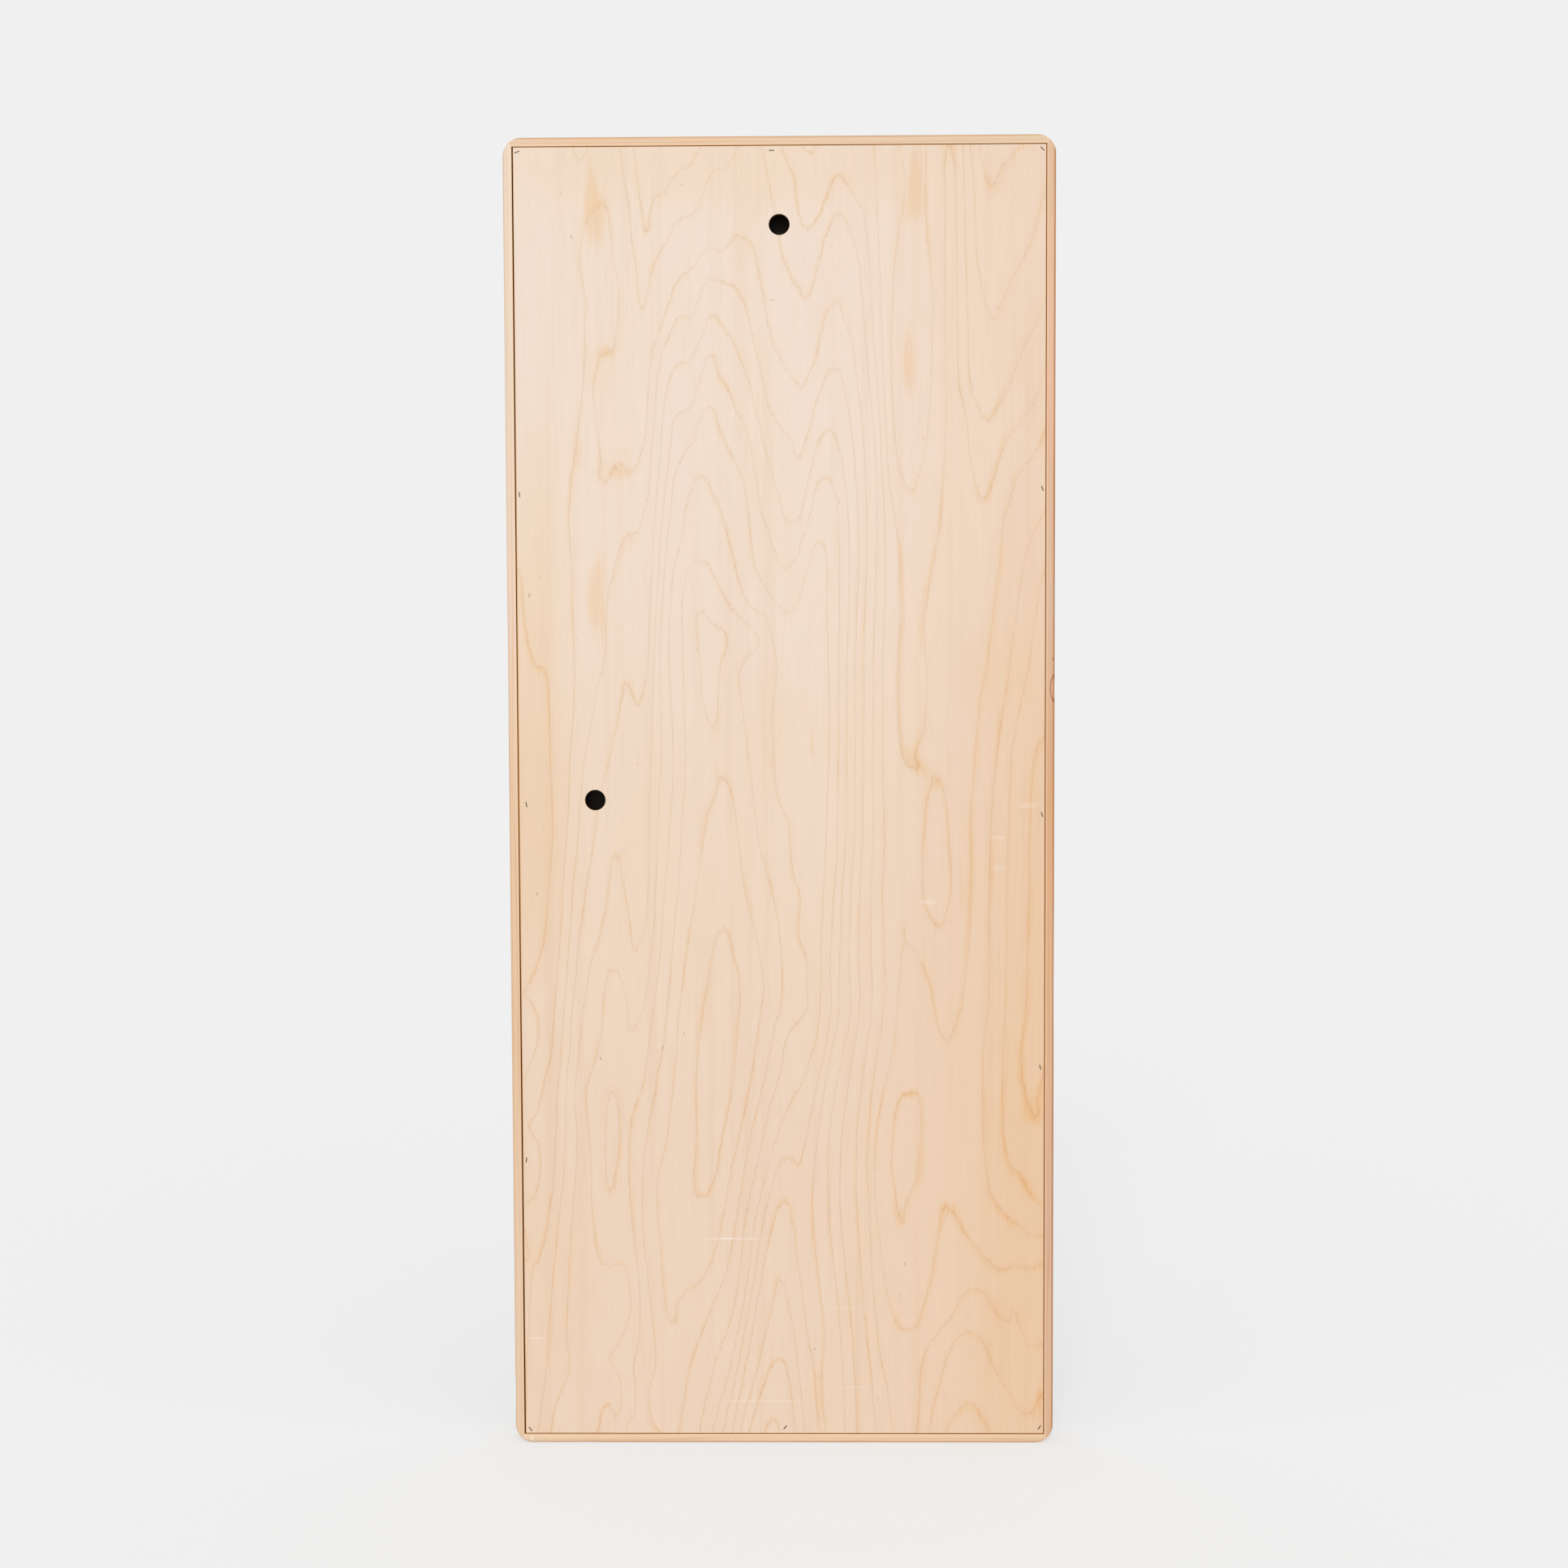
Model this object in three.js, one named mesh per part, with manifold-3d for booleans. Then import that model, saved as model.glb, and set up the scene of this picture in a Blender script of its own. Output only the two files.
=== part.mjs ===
// A framed wooden slant board, standing on its foot end with its back towards -Y.
// A mitred maple frame holds a thin stapled back panel and a screwed deck, with a
// half-lapped grid of strips between them. Millimetres, +Z up. The origin is in the
// middle of the foot end, where the board stands.
import * as THREE from "three";
import { mergeVertices } from "three/addons/utils/BufferGeometryUtils.js";
import Module from "manifold-3d";

// The whole board
const WIDTH = 762;
const HEIGHT = 1828.8;
const THICKNESS = 44.45;
const CORNER_RADIUS = 25.4;
const ARRIS_RADIUS = 3;

// Frame rails: a lip stands proud round each panel, and the rest of the rail is its ledge
const RAIL_WIDTH = 31.75;
const LIP_WIDTH = 12.7;

// Panels let into the frame
const BACK_THICKNESS = 6.35;
const BACK_RECESS = 0.35;
const BACK_GAP = 0.6;
const BACK_GAP_LEFT = 1.6;
const DECK_THICKNESS = 12.7;
const DECK_RECESS = 0.3;
const DECK_GAP = 0.6;

// Holes in the back panel: one hangs the board upright, the other hangs it on its side
const HANG_HOLE_DIAMETER = 28.6;
const HANG_HOLE_INSET = 120.65;

// Grid of strips inside, let into the rails at their ends and into each other at the laps
const STRIP_WIDTH = 12.7;
const HOUSING_DEPTH = 6;
const STILE_COUNT = 2;
const RIB_COUNT = 4;

// Loose tenons across the mitres
const TENON_LENGTH = 20;
const TENON_WIDTH = 12;
const TENON_THICKNESS = 5;
const TENON_SET_IN = 17;

// Staples through the back panel
const STAPLE_WIRE = 1.2;
const STAPLE_CROWN = 7;
const STAPLE_LENGTH = 14;
const STAPLE_SUNK = 0.5;
const STAPLE_EDGE = 6.6;

// Countersunk screws through the deck
const SCREW_LENGTH = 30;
const SCREW_SHANK = 4.2;
const SCREW_HEAD = 8.4;
const SCREW_RIM = 0.4;
const SCREW_POINT = 5;
const SCREW_SUNK = 0.4;
const SCREW_DRIVE = 2.4;
const SCREW_DRIVE_DEPTH = 1.6;
const SCREWS_PER_LONG_SIDE = 8;
const SCREWS_PER_SHORT_SIDE = 4;
const SCREW_CORNER_INSET = 60; // keeps the sides' end screws clear of the mitres

// Clearances
const FIT = 0.3;
const WELD = 1e-4;
const BEYOND = 5; // how far a cutter runs past what it cuts

// Fineness of the round shapes
const CORNER_STEPS = 10;
const ARRIS_STEPS = 4;
const HOLE_STEPS = 48;
const SCREW_STEPS = 16;

// The frame's layers, from its back face to its deck face
const BACK_FACE = -THICKNESS / 2;
const DECK_FACE = THICKNESS / 2;
const BACK_LEDGE = BACK_FACE + BACK_RECESS + BACK_THICKNESS + FIT;
const DECK_LEDGE = DECK_FACE - DECK_RECESS - DECK_THICKNESS - FIT;
const MID_LAYER = (BACK_LEDGE + DECK_LEDGE) / 2;
const STAPLE_DEPTH = BACK_FACE + BACK_RECESS + STAPLE_SUNK;
// The tenons lie halfway between the tips of the corner staples and the deck's ledge.
const TENON_LAYER = (STAPLE_DEPTH + STAPLE_LENGTH + FIT + DECK_LEDGE) / 2;

const maple = new THREE.MeshStandardMaterial({ color: 0xe8cbab, roughness: 0.55 });
const mapleVeneer = new THREE.MeshStandardMaterial({ color: 0xefd9c3, roughness: 0.5 });
const pine = new THREE.MeshStandardMaterial({ color: 0xd9b88a, roughness: 0.8 });
const beech = new THREE.MeshStandardMaterial({ color: 0xc99a6b, roughness: 0.7 });
const film = new THREE.MeshStandardMaterial({ color: 0x2a1d16, roughness: 0.6 });
const steelWire = new THREE.MeshStandardMaterial({
  color: 0x8d8a86,
  roughness: 0.45,
  metalness: 1,
});
const blackSteel = new THREE.MeshStandardMaterial({
  color: 0x26262a,
  roughness: 0.5,
  metalness: 0.8,
});

const wasm = await Module();
wasm.setup();

// Solids and shapes

/** A closed geometry as a solid that can be cut and joined. */
function solidOf(geometry) {
  const bare = geometry.index ? geometry.toNonIndexed() : geometry.clone();
  bare.deleteAttribute("normal");
  bare.deleteAttribute("uv");
  const merged = mergeVertices(bare, WELD);
  const mesh = new wasm.Mesh({
    numProp: 3,
    vertProperties: merged.attributes.position.array,
    triVerts: new Uint32Array(merged.index.array),
  });
  return new wasm.Manifold(mesh);
}

/** A cut or joined solid as a flat-shaded geometry. */
function geometryOf(solid) {
  const { numProp, numVert, vertProperties, triVerts } = solid.getMesh();
  const positions = new Float32Array(numVert * 3);
  for (let i = 0; i < numVert; i++) {
    positions.set(vertProperties.subarray(i * numProp, i * numProp + 3), i * 3);
  }
  const indexed = new THREE.BufferGeometry();
  indexed.setAttribute("position", new THREE.BufferAttribute(positions, 3));
  indexed.setIndex(new THREE.BufferAttribute(triVerts, 1));
  const flat = indexed.toNonIndexed();
  flat.computeVertexNormals();
  return flat;
}

/** Several solids as one, to cut with or to join. */
function together(solids) {
  return solids.reduce((all, next) => all.add(next));
}

function namedMesh(name, geometry, material) {
  const mesh = new THREE.Mesh(geometry, material);
  mesh.name = name;
  return mesh;
}

/** A rectangle in the board's plane, centred on x, z. */
function rectangle(width, height, x = 0, z = 0) {
  const shape = new THREE.Shape();
  shape.moveTo(x - width / 2, z - height / 2);
  shape.lineTo(x + width / 2, z - height / 2);
  shape.lineTo(x + width / 2, z + height / 2);
  shape.lineTo(x - width / 2, z + height / 2);
  shape.closePath();
  return shape;
}

/** A centred rectangle with round corners, in the board's plane. */
function roundedRectangle(width, height, radius) {
  const x = width / 2 - radius;
  const z = height / 2 - radius;
  const quarter = Math.PI / 2;
  const shape = new THREE.Shape();
  shape.absarc(x, -z, radius, -quarter, 0, false);
  shape.absarc(x, z, radius, 0, quarter, false);
  shape.absarc(-x, z, radius, quarter, 2 * quarter, false);
  shape.absarc(-x, -z, radius, 2 * quarter, 3 * quarter, false);
  shape.closePath();
  return shape;
}

/** A shape in the board's plane, made solid from one depth to another along Y. */
function plate(shape, from, to, options = {}) {
  const geometry = new THREE.ExtrudeGeometry(shape, {
    depth: to - from,
    bevelEnabled: false,
    curveSegments: CORNER_STEPS,
    ...options,
  });
  return geometry.rotateX(Math.PI / 2).translate(0, to, 0);
}

/** A plain block between two depths, centred on x, z. */
function block(width, height, from, to, x = 0, z = 0) {
  return solidOf(plate(rectangle(width, height, x, z), from, to));
}

// Places on the board, measured from its middle

/** Evenly spaced places that share a length out, leaving out its two ends. */
function spread(count, length) {
  return Array.from({ length: count }, (_, i) => length * ((i + 1) / (count + 1) - 0.5));
}

const STILE_PLACES = spread(STILE_COUNT, WIDTH);
const RIB_PLACES = spread(RIB_COUNT, HEIGHT);

const HANG_HOLES = [
  { x: 0, z: HEIGHT / 2 - HANG_HOLE_INSET },
  { x: HANG_HOLE_INSET - WIDTH / 2, z: 0 },
];

// Each staple was set by hand, so it drifts from its even place and stands at its own angle.
// side runs from -1 at the left edge to 1 at the right, and level from -1 at the foot to 1 at
// the head. drift is x then z.
const STAPLES = [
  { name: "staple_head_left", side: -1, level: 1, drift: [0.7, -0.7], turn: 20 },
  { name: "staple_head_middle", side: 0, level: 1, drift: [-10, -0.7], turn: 0 },
  { name: "staple_head_right", side: 1, level: 1, drift: [0.3, -0.7], turn: -45 },
  { name: "staple_left_upper", side: -1, level: 0.5, drift: [-0.5, -22], turn: 95 },
  { name: "staple_right_upper", side: 1, level: 0.5, drift: [1.3, -17], turn: -70 },
  { name: "staple_left_middle", side: -1, level: 0, drift: [4.7, -6], turn: 100 },
  { name: "staple_right_middle", side: 1, level: 0, drift: [2, -22], turn: -72 },
  { name: "staple_left_lower", side: -1, level: -0.5, drift: [-0.3, -61], turn: 84 },
  { name: "staple_right_lower", side: 1, level: -0.5, drift: [0.3, 70], turn: -76 },
  { name: "staple_foot_left", side: -1, level: -1, drift: [1.7, 0], turn: -52 },
  { name: "staple_foot_middle", side: 0, level: -1, drift: [2, 2.7], turn: 50 },
  { name: "staple_foot_right", side: 1, level: -1, drift: [0.3, 2.7], turn: 58 },
];

/** A staple's place on the back panel. */
function staplePlace({ side, level, drift }) {
  const inset = LIP_WIDTH + STAPLE_EDGE;
  return {
    x: side * (WIDTH / 2 - inset) + drift[0],
    z: level * (HEIGHT / 2 - inset) + drift[1],
  };
}

/** Evenly spaced screws along a side of the board, from near one corner to near the other. */
function screwRow(count, length) {
  const first = SCREW_CORNER_INSET - length / 2;
  return Array.from({ length: count }, (_, i) => first * (1 - (2 * i) / (count - 1)));
}

/** The deck screws' names and places, along the middle of the rails' ledges. */
function screwPlaces() {
  const inset = (LIP_WIDTH + RAIL_WIDTH) / 2;
  const x = WIDTH / 2 - inset;
  const z = HEIGHT / 2 - inset;
  const places = [];
  screwRow(SCREWS_PER_LONG_SIDE, HEIGHT).forEach((level, i) => {
    places.push({ name: `deck_screw_left_${i + 1}`, x: -x, z: level });
    places.push({ name: `deck_screw_right_${i + 1}`, x, z: level });
  });
  screwRow(SCREWS_PER_SHORT_SIDE, WIDTH).forEach((across, i) => {
    places.push({ name: `deck_screw_head_${i + 1}`, x: across, z });
    places.push({ name: `deck_screw_foot_${i + 1}`, x: across, z: -z });
  });
  return places;
}

// Staples

/** A staple with its crown along X and its legs along +Y, or the room that one needs. */
function stapleShape(clearance, pocket) {
  const out = STAPLE_CROWN / 2 + clearance;
  const leg = STAPLE_WIRE + 2 * clearance;
  const crown = STAPLE_WIRE + clearance;
  const tip = STAPLE_LENGTH + clearance;
  const shape = new THREE.Shape();
  shape.moveTo(-out, -pocket);
  shape.lineTo(out, -pocket);
  shape.lineTo(out, tip);
  shape.lineTo(out - leg, tip);
  shape.lineTo(out - leg, crown);
  shape.lineTo(leg - out, crown);
  shape.lineTo(leg - out, tip);
  shape.lineTo(-out, tip);
  shape.closePath();
  const thick = STAPLE_WIRE + 2 * clearance;
  const options = { depth: thick, bevelEnabled: false };
  return new THREE.ExtrudeGeometry(shape, options).translate(0, 0, -thick / 2);
}

function makeStaple(staple) {
  const { x, z } = staplePlace(staple);
  const mesh = namedMesh(staple.name, stapleShape(0, 0), steelWire);
  mesh.position.set(x, STAPLE_DEPTH, z);
  mesh.rotation.y = -THREE.MathUtils.degToRad(staple.turn);
  return mesh;
}

/** The slot that a staple cuts, open to the back. */
function stapleSlot(staple) {
  const { x, z } = staplePlace(staple);
  const slot = stapleShape(FIT, STAPLE_SUNK + BEYOND);
  slot.rotateY(-THREE.MathUtils.degToRad(staple.turn));
  return solidOf(slot.translate(x, STAPLE_DEPTH, z));
}

// Screws

/** A countersunk screw along -Y with its head's top at y 0, or the hole that one needs. */
function screwBody(clearance, above) {
  const head = SCREW_HEAD / 2 + clearance;
  const shank = SCREW_SHANK / 2 + clearance;
  const rim = -SCREW_RIM - clearance;
  const neck = rim - (SCREW_HEAD - SCREW_SHANK) / 2;
  const tip = -SCREW_LENGTH - clearance;
  const profile = [
    new THREE.Vector2(0, tip),
    new THREE.Vector2(shank, tip + SCREW_POINT),
    new THREE.Vector2(shank, neck),
    new THREE.Vector2(head, rim),
    new THREE.Vector2(head, above),
    new THREE.Vector2(0, above),
  ];
  return new THREE.LatheGeometry(profile, SCREW_STEPS);
}

function makeScrew({ name, x, z }) {
  const drive = new THREE.BoxGeometry(SCREW_DRIVE, 2 * SCREW_DRIVE_DEPTH, SCREW_DRIVE);
  const body = solidOf(screwBody(0, 0)).subtract(solidOf(drive));
  const mesh = namedMesh(name, geometryOf(body), blackSteel);
  mesh.position.set(x, DECK_FACE - DECK_RECESS - SCREW_SUNK, z);
  return mesh;
}

/** The countersunk hole for a screw, open to the deck face. */
function screwHole({ x, z }) {
  const hole = screwBody(FIT, SCREW_SUNK + BEYOND);
  return solidOf(hole.translate(x, DECK_FACE - DECK_RECESS - SCREW_SUNK, z));
}

// Loose tenons

/** A tenon lying flat across the mitre at one corner, grown by a clearance. */
function tenonPlate(sideX, sideZ, clearance) {
  const length = TENON_LENGTH + 2 * clearance;
  const width = TENON_WIDTH + 2 * clearance;
  const half = TENON_THICKNESS / 2 + clearance;
  const geometry = plate(rectangle(length, width), -half, half);
  geometry.rotateY((sideX * sideZ * Math.PI) / -4 + Math.PI / 2);
  return geometry;
}

function tenonPlace(sideX, sideZ) {
  const x = sideX * (WIDTH / 2 - TENON_SET_IN);
  const z = sideZ * (HEIGHT / 2 - TENON_SET_IN);
  return new THREE.Vector3(x, TENON_LAYER, z);
}

const CORNERS = [
  { name: "mitre_tenon_head_left", sideX: -1, sideZ: 1 },
  { name: "mitre_tenon_head_right", sideX: 1, sideZ: 1 },
  { name: "mitre_tenon_foot_left", sideX: -1, sideZ: -1 },
  { name: "mitre_tenon_foot_right", sideX: 1, sideZ: -1 },
];

function makeTenon({ name, sideX, sideZ }) {
  const mesh = namedMesh(name, tenonPlate(sideX, sideZ, 0), beech);
  mesh.position.copy(tenonPlace(sideX, sideZ));
  return mesh;
}

function tenonMortise({ sideX, sideZ }) {
  const { x, y, z } = tenonPlace(sideX, sideZ);
  return solidOf(tenonPlate(sideX, sideZ, FIT).translate(x, y, z));
}

// Strips inside

const STILE_LENGTH = HEIGHT - 2 * (RAIL_WIDTH - HOUSING_DEPTH + FIT);
const RIB_LENGTH = WIDTH - 2 * (RAIL_WIDTH - HOUSING_DEPTH + FIT);

/** An upright strip, notched from its deck side where the ribs cross it. */
function makeStile(x, index) {
  const notches = RIB_PLACES.map((z) =>
    block(STRIP_WIDTH + 2 * BEYOND, STRIP_WIDTH + FIT, MID_LAYER - FIT / 2, DECK_LEDGE + BEYOND, 0, z),
  );
  const strip = block(STRIP_WIDTH, STILE_LENGTH, BACK_LEDGE, DECK_LEDGE);
  const mesh = namedMesh(`stile_${index + 1}`, geometryOf(strip.subtract(together(notches))), pine);
  mesh.position.x = x;
  return mesh;
}

/** A cross strip, notched from its back side where the stiles cross it. */
function makeRib(z, index) {
  const notches = STILE_PLACES.map((x) =>
    block(STRIP_WIDTH + FIT, STRIP_WIDTH + 2 * BEYOND, BACK_LEDGE - BEYOND, MID_LAYER + FIT / 2, x, 0),
  );
  const strip = block(RIB_LENGTH, STRIP_WIDTH, BACK_LEDGE, DECK_LEDGE);
  const mesh = namedMesh(`rib_${index + 1}`, geometryOf(strip.subtract(together(notches))), pine);
  mesh.position.z = z;
  return mesh;
}

/** The housings that the strips' ends need in the rails. */
function stripHousings() {
  const wide = STRIP_WIDTH + 2 * FIT;
  const long = 2 * (HOUSING_DEPTH - RAIL_WIDTH);
  const upright = STILE_PLACES.map((x) =>
    block(wide, HEIGHT + long, BACK_LEDGE - FIT, DECK_LEDGE + FIT, x, 0),
  );
  const across = RIB_PLACES.map((z) =>
    block(WIDTH + long, wide, BACK_LEDGE - FIT, DECK_LEDGE + FIT, 0, z),
  );
  return together([...upright, ...across]);
}

// Panels

function makeBackPanel(slots) {
  const width = WIDTH - 2 * LIP_WIDTH - BACK_GAP - BACK_GAP_LEFT;
  const height = HEIGHT - 2 * (LIP_WIDTH + BACK_GAP);
  const shape = rectangle(width, height, (BACK_GAP_LEFT - BACK_GAP) / 2, 0);
  for (const { x, z } of HANG_HOLES) {
    const hole = new THREE.Path();
    hole.absarc(x, z, HANG_HOLE_DIAMETER / 2, 0, 2 * Math.PI, true);
    shape.holes.push(hole);
  }
  const front = BACK_FACE + BACK_RECESS;
  const sheet = solidOf(
    plate(shape, front, front + BACK_THICKNESS, { curveSegments: HOLE_STEPS }),
  );
  return namedMesh("back_panel", geometryOf(sheet.subtract(slots)), mapleVeneer);
}

function makeDeckPanel(holes) {
  const width = WIDTH - 2 * (LIP_WIDTH + DECK_GAP);
  const height = HEIGHT - 2 * (LIP_WIDTH + DECK_GAP);
  const top = DECK_FACE - DECK_RECESS;
  const sheet = block(width, height, top - DECK_THICKNESS, top);
  return namedMesh("deck_panel", geometryOf(sheet.subtract(holes)), film);
}

// Frame

/** The four rails in one, with eased outer edges, before the mitres part them. */
function frameRing() {
  const outline = roundedRectangle(WIDTH, HEIGHT, CORNER_RADIUS);
  const eased = plate(outline, BACK_FACE + ARRIS_RADIUS, DECK_FACE - ARRIS_RADIUS, {
    bevelEnabled: true,
    bevelThickness: ARRIS_RADIUS,
    bevelSize: ARRIS_RADIUS,
    bevelOffset: -ARRIS_RADIUS,
    bevelSegments: ARRIS_STEPS,
  });
  const throughWidth = WIDTH - 2 * RAIL_WIDTH;
  const throughHeight = HEIGHT - 2 * RAIL_WIDTH;
  const rebateWidth = WIDTH - 2 * LIP_WIDTH;
  const rebateHeight = HEIGHT - 2 * LIP_WIDTH;
  const openings = together([
    block(throughWidth, throughHeight, BACK_FACE - BEYOND, DECK_FACE + BEYOND),
    block(rebateWidth, rebateHeight, BACK_FACE - BEYOND, BACK_LEDGE),
    block(rebateWidth, rebateHeight, DECK_LEDGE, DECK_FACE + BEYOND),
  ]);
  return solidOf(eased).subtract(openings);
}

/** The wedge of the board that one rail fills: side is where the rail lies. */
function railWedge(side) {
  const reach = 2 * RAIL_WIDTH;
  const back = FIT / Math.SQRT2; // sets each mitre face back by half the fit
  const upright = side === "left" || side === "right";
  const half = (upright ? HEIGHT : WIDTH) / 2;
  const edge = (upright ? WIDTH : HEIGHT) / 2;
  const outer = edge + BEYOND;
  const points = [
    [half + BEYOND - back, outer],
    [-half - BEYOND + back, outer],
    [-half + reach + back, edge - reach],
    [half - reach - back, edge - reach],
  ];
  const turns = { head: 0, left: 1, foot: 2, right: 3 };
  const angle = (turns[side] * Math.PI) / 2;
  const corners = points.map(([x, z]) =>
    new THREE.Vector2(x, z).rotateAround(new THREE.Vector2(), angle),
  );
  return solidOf(plate(new THREE.Shape(corners), BACK_FACE - BEYOND, DECK_FACE + BEYOND));
}

function makeRail(side, ring) {
  const rail = ring.intersect(railWedge(side));
  return namedMesh(`rail_${side}`, geometryOf(rail), maple);
}

// The board

const stapleSlots = together(STAPLES.map(stapleSlot));
const screws = screwPlaces();
const screwHoles = together(screws.map(screwHole));
const mortises = together(CORNERS.map(tenonMortise));
const ring = frameRing()
  .subtract(stripHousings())
  .subtract(mortises)
  .subtract(stapleSlots)
  .subtract(screwHoles);

const frame = new THREE.Group();
frame.add(...["left", "right", "head", "foot"].map((side) => makeRail(side, ring)));
frame.add(...CORNERS.map(makeTenon));

const grid = new THREE.Group();
grid.add(...STILE_PLACES.map(makeStile), ...RIB_PLACES.map(makeRib));

const back = new THREE.Group();
back.add(makeBackPanel(stapleSlots), ...STAPLES.map(makeStaple));

const deck = new THREE.Group();
deck.add(makeDeckPanel(screwHoles), ...screws.map(makeScrew));

// The groups are laid out from the board's middle, and the board stands on its foot end.
const standing = new THREE.Group();
standing.add(frame, grid, back, deck);
standing.position.z = HEIGHT / 2;

const board = new THREE.Group();
board.add(standing);

export default board;
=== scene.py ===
"""A slant board: a maple frame with a figured veneer panel let into its back and a film-faced deck on its face.

Every size is in metres in the board's own frame: x across, y from the back to the face, z up its length.
"""

import math
import random

import bmesh
import bpy
import numpy as np
from mathutils import Matrix, Vector


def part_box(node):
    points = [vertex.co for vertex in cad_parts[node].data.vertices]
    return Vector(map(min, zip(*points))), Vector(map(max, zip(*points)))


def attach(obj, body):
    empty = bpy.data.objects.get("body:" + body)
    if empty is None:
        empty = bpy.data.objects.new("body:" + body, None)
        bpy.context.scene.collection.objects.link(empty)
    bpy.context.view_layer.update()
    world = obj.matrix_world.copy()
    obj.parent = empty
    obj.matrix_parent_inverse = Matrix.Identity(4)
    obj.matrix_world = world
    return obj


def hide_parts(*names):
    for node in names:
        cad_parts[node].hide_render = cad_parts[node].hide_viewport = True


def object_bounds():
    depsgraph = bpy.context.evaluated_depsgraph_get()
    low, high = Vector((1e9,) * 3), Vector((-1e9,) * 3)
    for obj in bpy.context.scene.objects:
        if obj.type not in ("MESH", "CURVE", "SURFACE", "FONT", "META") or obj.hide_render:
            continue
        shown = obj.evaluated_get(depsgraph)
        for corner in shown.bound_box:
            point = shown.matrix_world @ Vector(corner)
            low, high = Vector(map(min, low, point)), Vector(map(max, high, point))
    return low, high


bl_info = {
    "name": "Slant board",
    "version": (1, 0, 0),
    "blender": (4, 5, 0),
    "location": "3D View > Sidebar > Slant board",
    "description": "Builds a wooden slant board round its frame, piece by piece",
    "category": "Object",
}

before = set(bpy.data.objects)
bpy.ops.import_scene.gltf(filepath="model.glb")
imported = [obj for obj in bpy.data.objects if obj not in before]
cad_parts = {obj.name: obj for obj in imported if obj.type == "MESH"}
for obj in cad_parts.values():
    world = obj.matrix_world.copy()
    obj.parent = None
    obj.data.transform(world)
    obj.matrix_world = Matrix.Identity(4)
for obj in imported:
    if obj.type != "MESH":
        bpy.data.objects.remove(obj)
CAD_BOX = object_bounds()

MM = 0.001
LOW, HIGH = CAD_BOX

# Points closer than WELD become one, and a place closer than NEAR to a panel's edge is on it
WELD = 1e-6
NEAR = 1e-7

# How many steps go into each kind of round
ROUND_OVER_STEPS = 8
WIRE_STEPS = 12
HOLE_STEPS = 96
COUNTERSINK_STEPS = 40
SCREW_STEPS = 32

# The finishes count in millimetres: the board's half width, length and depth, and where its two panels' faces lie
HALF_WIDTH, HALF_LENGTH, HALF_DEPTH = HIGH.x / MM, HIGH.z / MM / 2, HIGH.y / MM
VENEER_FACE, DECK_FACE = -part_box("back_panel")[0][1] / MM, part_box("deck_panel")[1][1] / MM

# Thickness of the plies in the back panel and the deck, and the print's spacing on the deck's film, in millimetres
PLY_LAYER, DECK_LAYER, WIRE_PITCH = 1.27, 1.4, 7.0

# The grid that the growth rings settle on, in millimetres: its finest cell, its left, right, foot and head,
# how close the grain lines are sampled, and how hard they pull
GRAIN_CELL = 6.0
GRAIN_BOX = (-372.0, 372.0, 0.0, 1830.0)
GRAIN_STEP = 3.0
GRAIN_PULL = 3.0

# How dark each rail's arrises are painted, from 0 to 1: mostly painted shade where the round-over turns from the
# light, with a little brown burnish from handling
RAIL_ARRIS_SHADE_AND_WEAR = {"rail_left": 0.25, "rail_right": 1.0, "rail_head": 0.6, "rail_foot": 0.65}

# Each rail's dents, in metres: how far along it from the foot or the left, reach to each side, and depth
RAIL_DENTS = {
    "rail_left": ((0.60 * (HIGH.z - LOW.z), 0.09, 0.0004), (0.075, 0.03, 0.0005)),
    "rail_right": ((1.066, 0.014, 0.0003), (0.66, 0.1, 0.0003)),
    "rail_head": (),
    "rail_foot": ((0.1, 0.02, 0.0003),),
}

# The back panel's left side swells towards the rail: by how much, how high up, and its reach, in metres
LEFT_SWELL = (0.0007, 0.97, 0.42)

# The flame on the right rail is a ring round an oval at x 0.381, z 1.068, which is 0.014 wide and 0.038 tall.
# A place times the scale, plus the shift, is how many half-widths of that oval it is from its middle
FLAME_SCALE, FLAME_SHIFT = (142.9, 0.0, 52.6), (-54.5, 0.0, -56.2)

# The dent round a staple's crown: how much wider than the wire at each depth from the face, in metres
SLOT_RINGS = ((0.0004, -0.001), (0.00022, 0.0), (0.00012, 0.0002), (0.0001, 0.0017))

# Radius of the staples' bends, and how far apart the screws' ridges are, in metres
WIRE_BEND, THREAD_PITCH = 0.0009, 0.0019

# The light that reaches the upright faces, as a multiple of a plain white wall's
FACE_LIGHT = 1.19

# The two hang holes, in the middle of the head's side and of the left side
HOLE_INSET = 0.12065
HOLE_PLACES = ((0.0, HIGH.z - HOLE_INSET), (LOW.x + HOLE_INSET, (HIGH.z + LOW.z) / 2))

# The camera's place, lens in millimetres, and pitch, yaw and roll in degrees
CAMERA_PLACE = Vector((0.0419, -3.0, 1.0923))
CAMERA_LENS, CAMERA_FILM = 49.03, 36.0
CAMERA_TURN = (-3.001, 0.734, -0.220)

# The key light: where it comes from, its strength, and how many degrees wide it is
KEY_FROM = (-0.06, -0.90, 0.62)
KEY_STRENGTH = 1.20
KEY_WIDTH = 22.0

# How far the floor goes each way, and how far it lies below the board's foot
FLOOR_REACH, FLOOR_DROP = 150.0, 0.0001

# x, z, half-widths across and up, and strength of each small dark mark, in millimetres
PIN_MARKS = (
    (-350, 1200, 1.1, 4, 0.8), (-343, 783, 1.0, 3.5, 0.7), (-256, 550, 1.2, 3, 0.8), (-168, 565, 1.2, 2.6, 0.6),
    (-138, 585, 1.0, 3, 0.6), (172, 257, 1.1, 3, 0.6), (44, 135, 1.1, 3, 0.6), (-287, 1693, 1.1, 4, 0.6),
    (-134, 1763, 1.0, 3, 0.5), (-10, 1605, 3.2, 1.0, 0.6), (116, 1508, 1.0, 1.6, 0.5),
)

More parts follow.
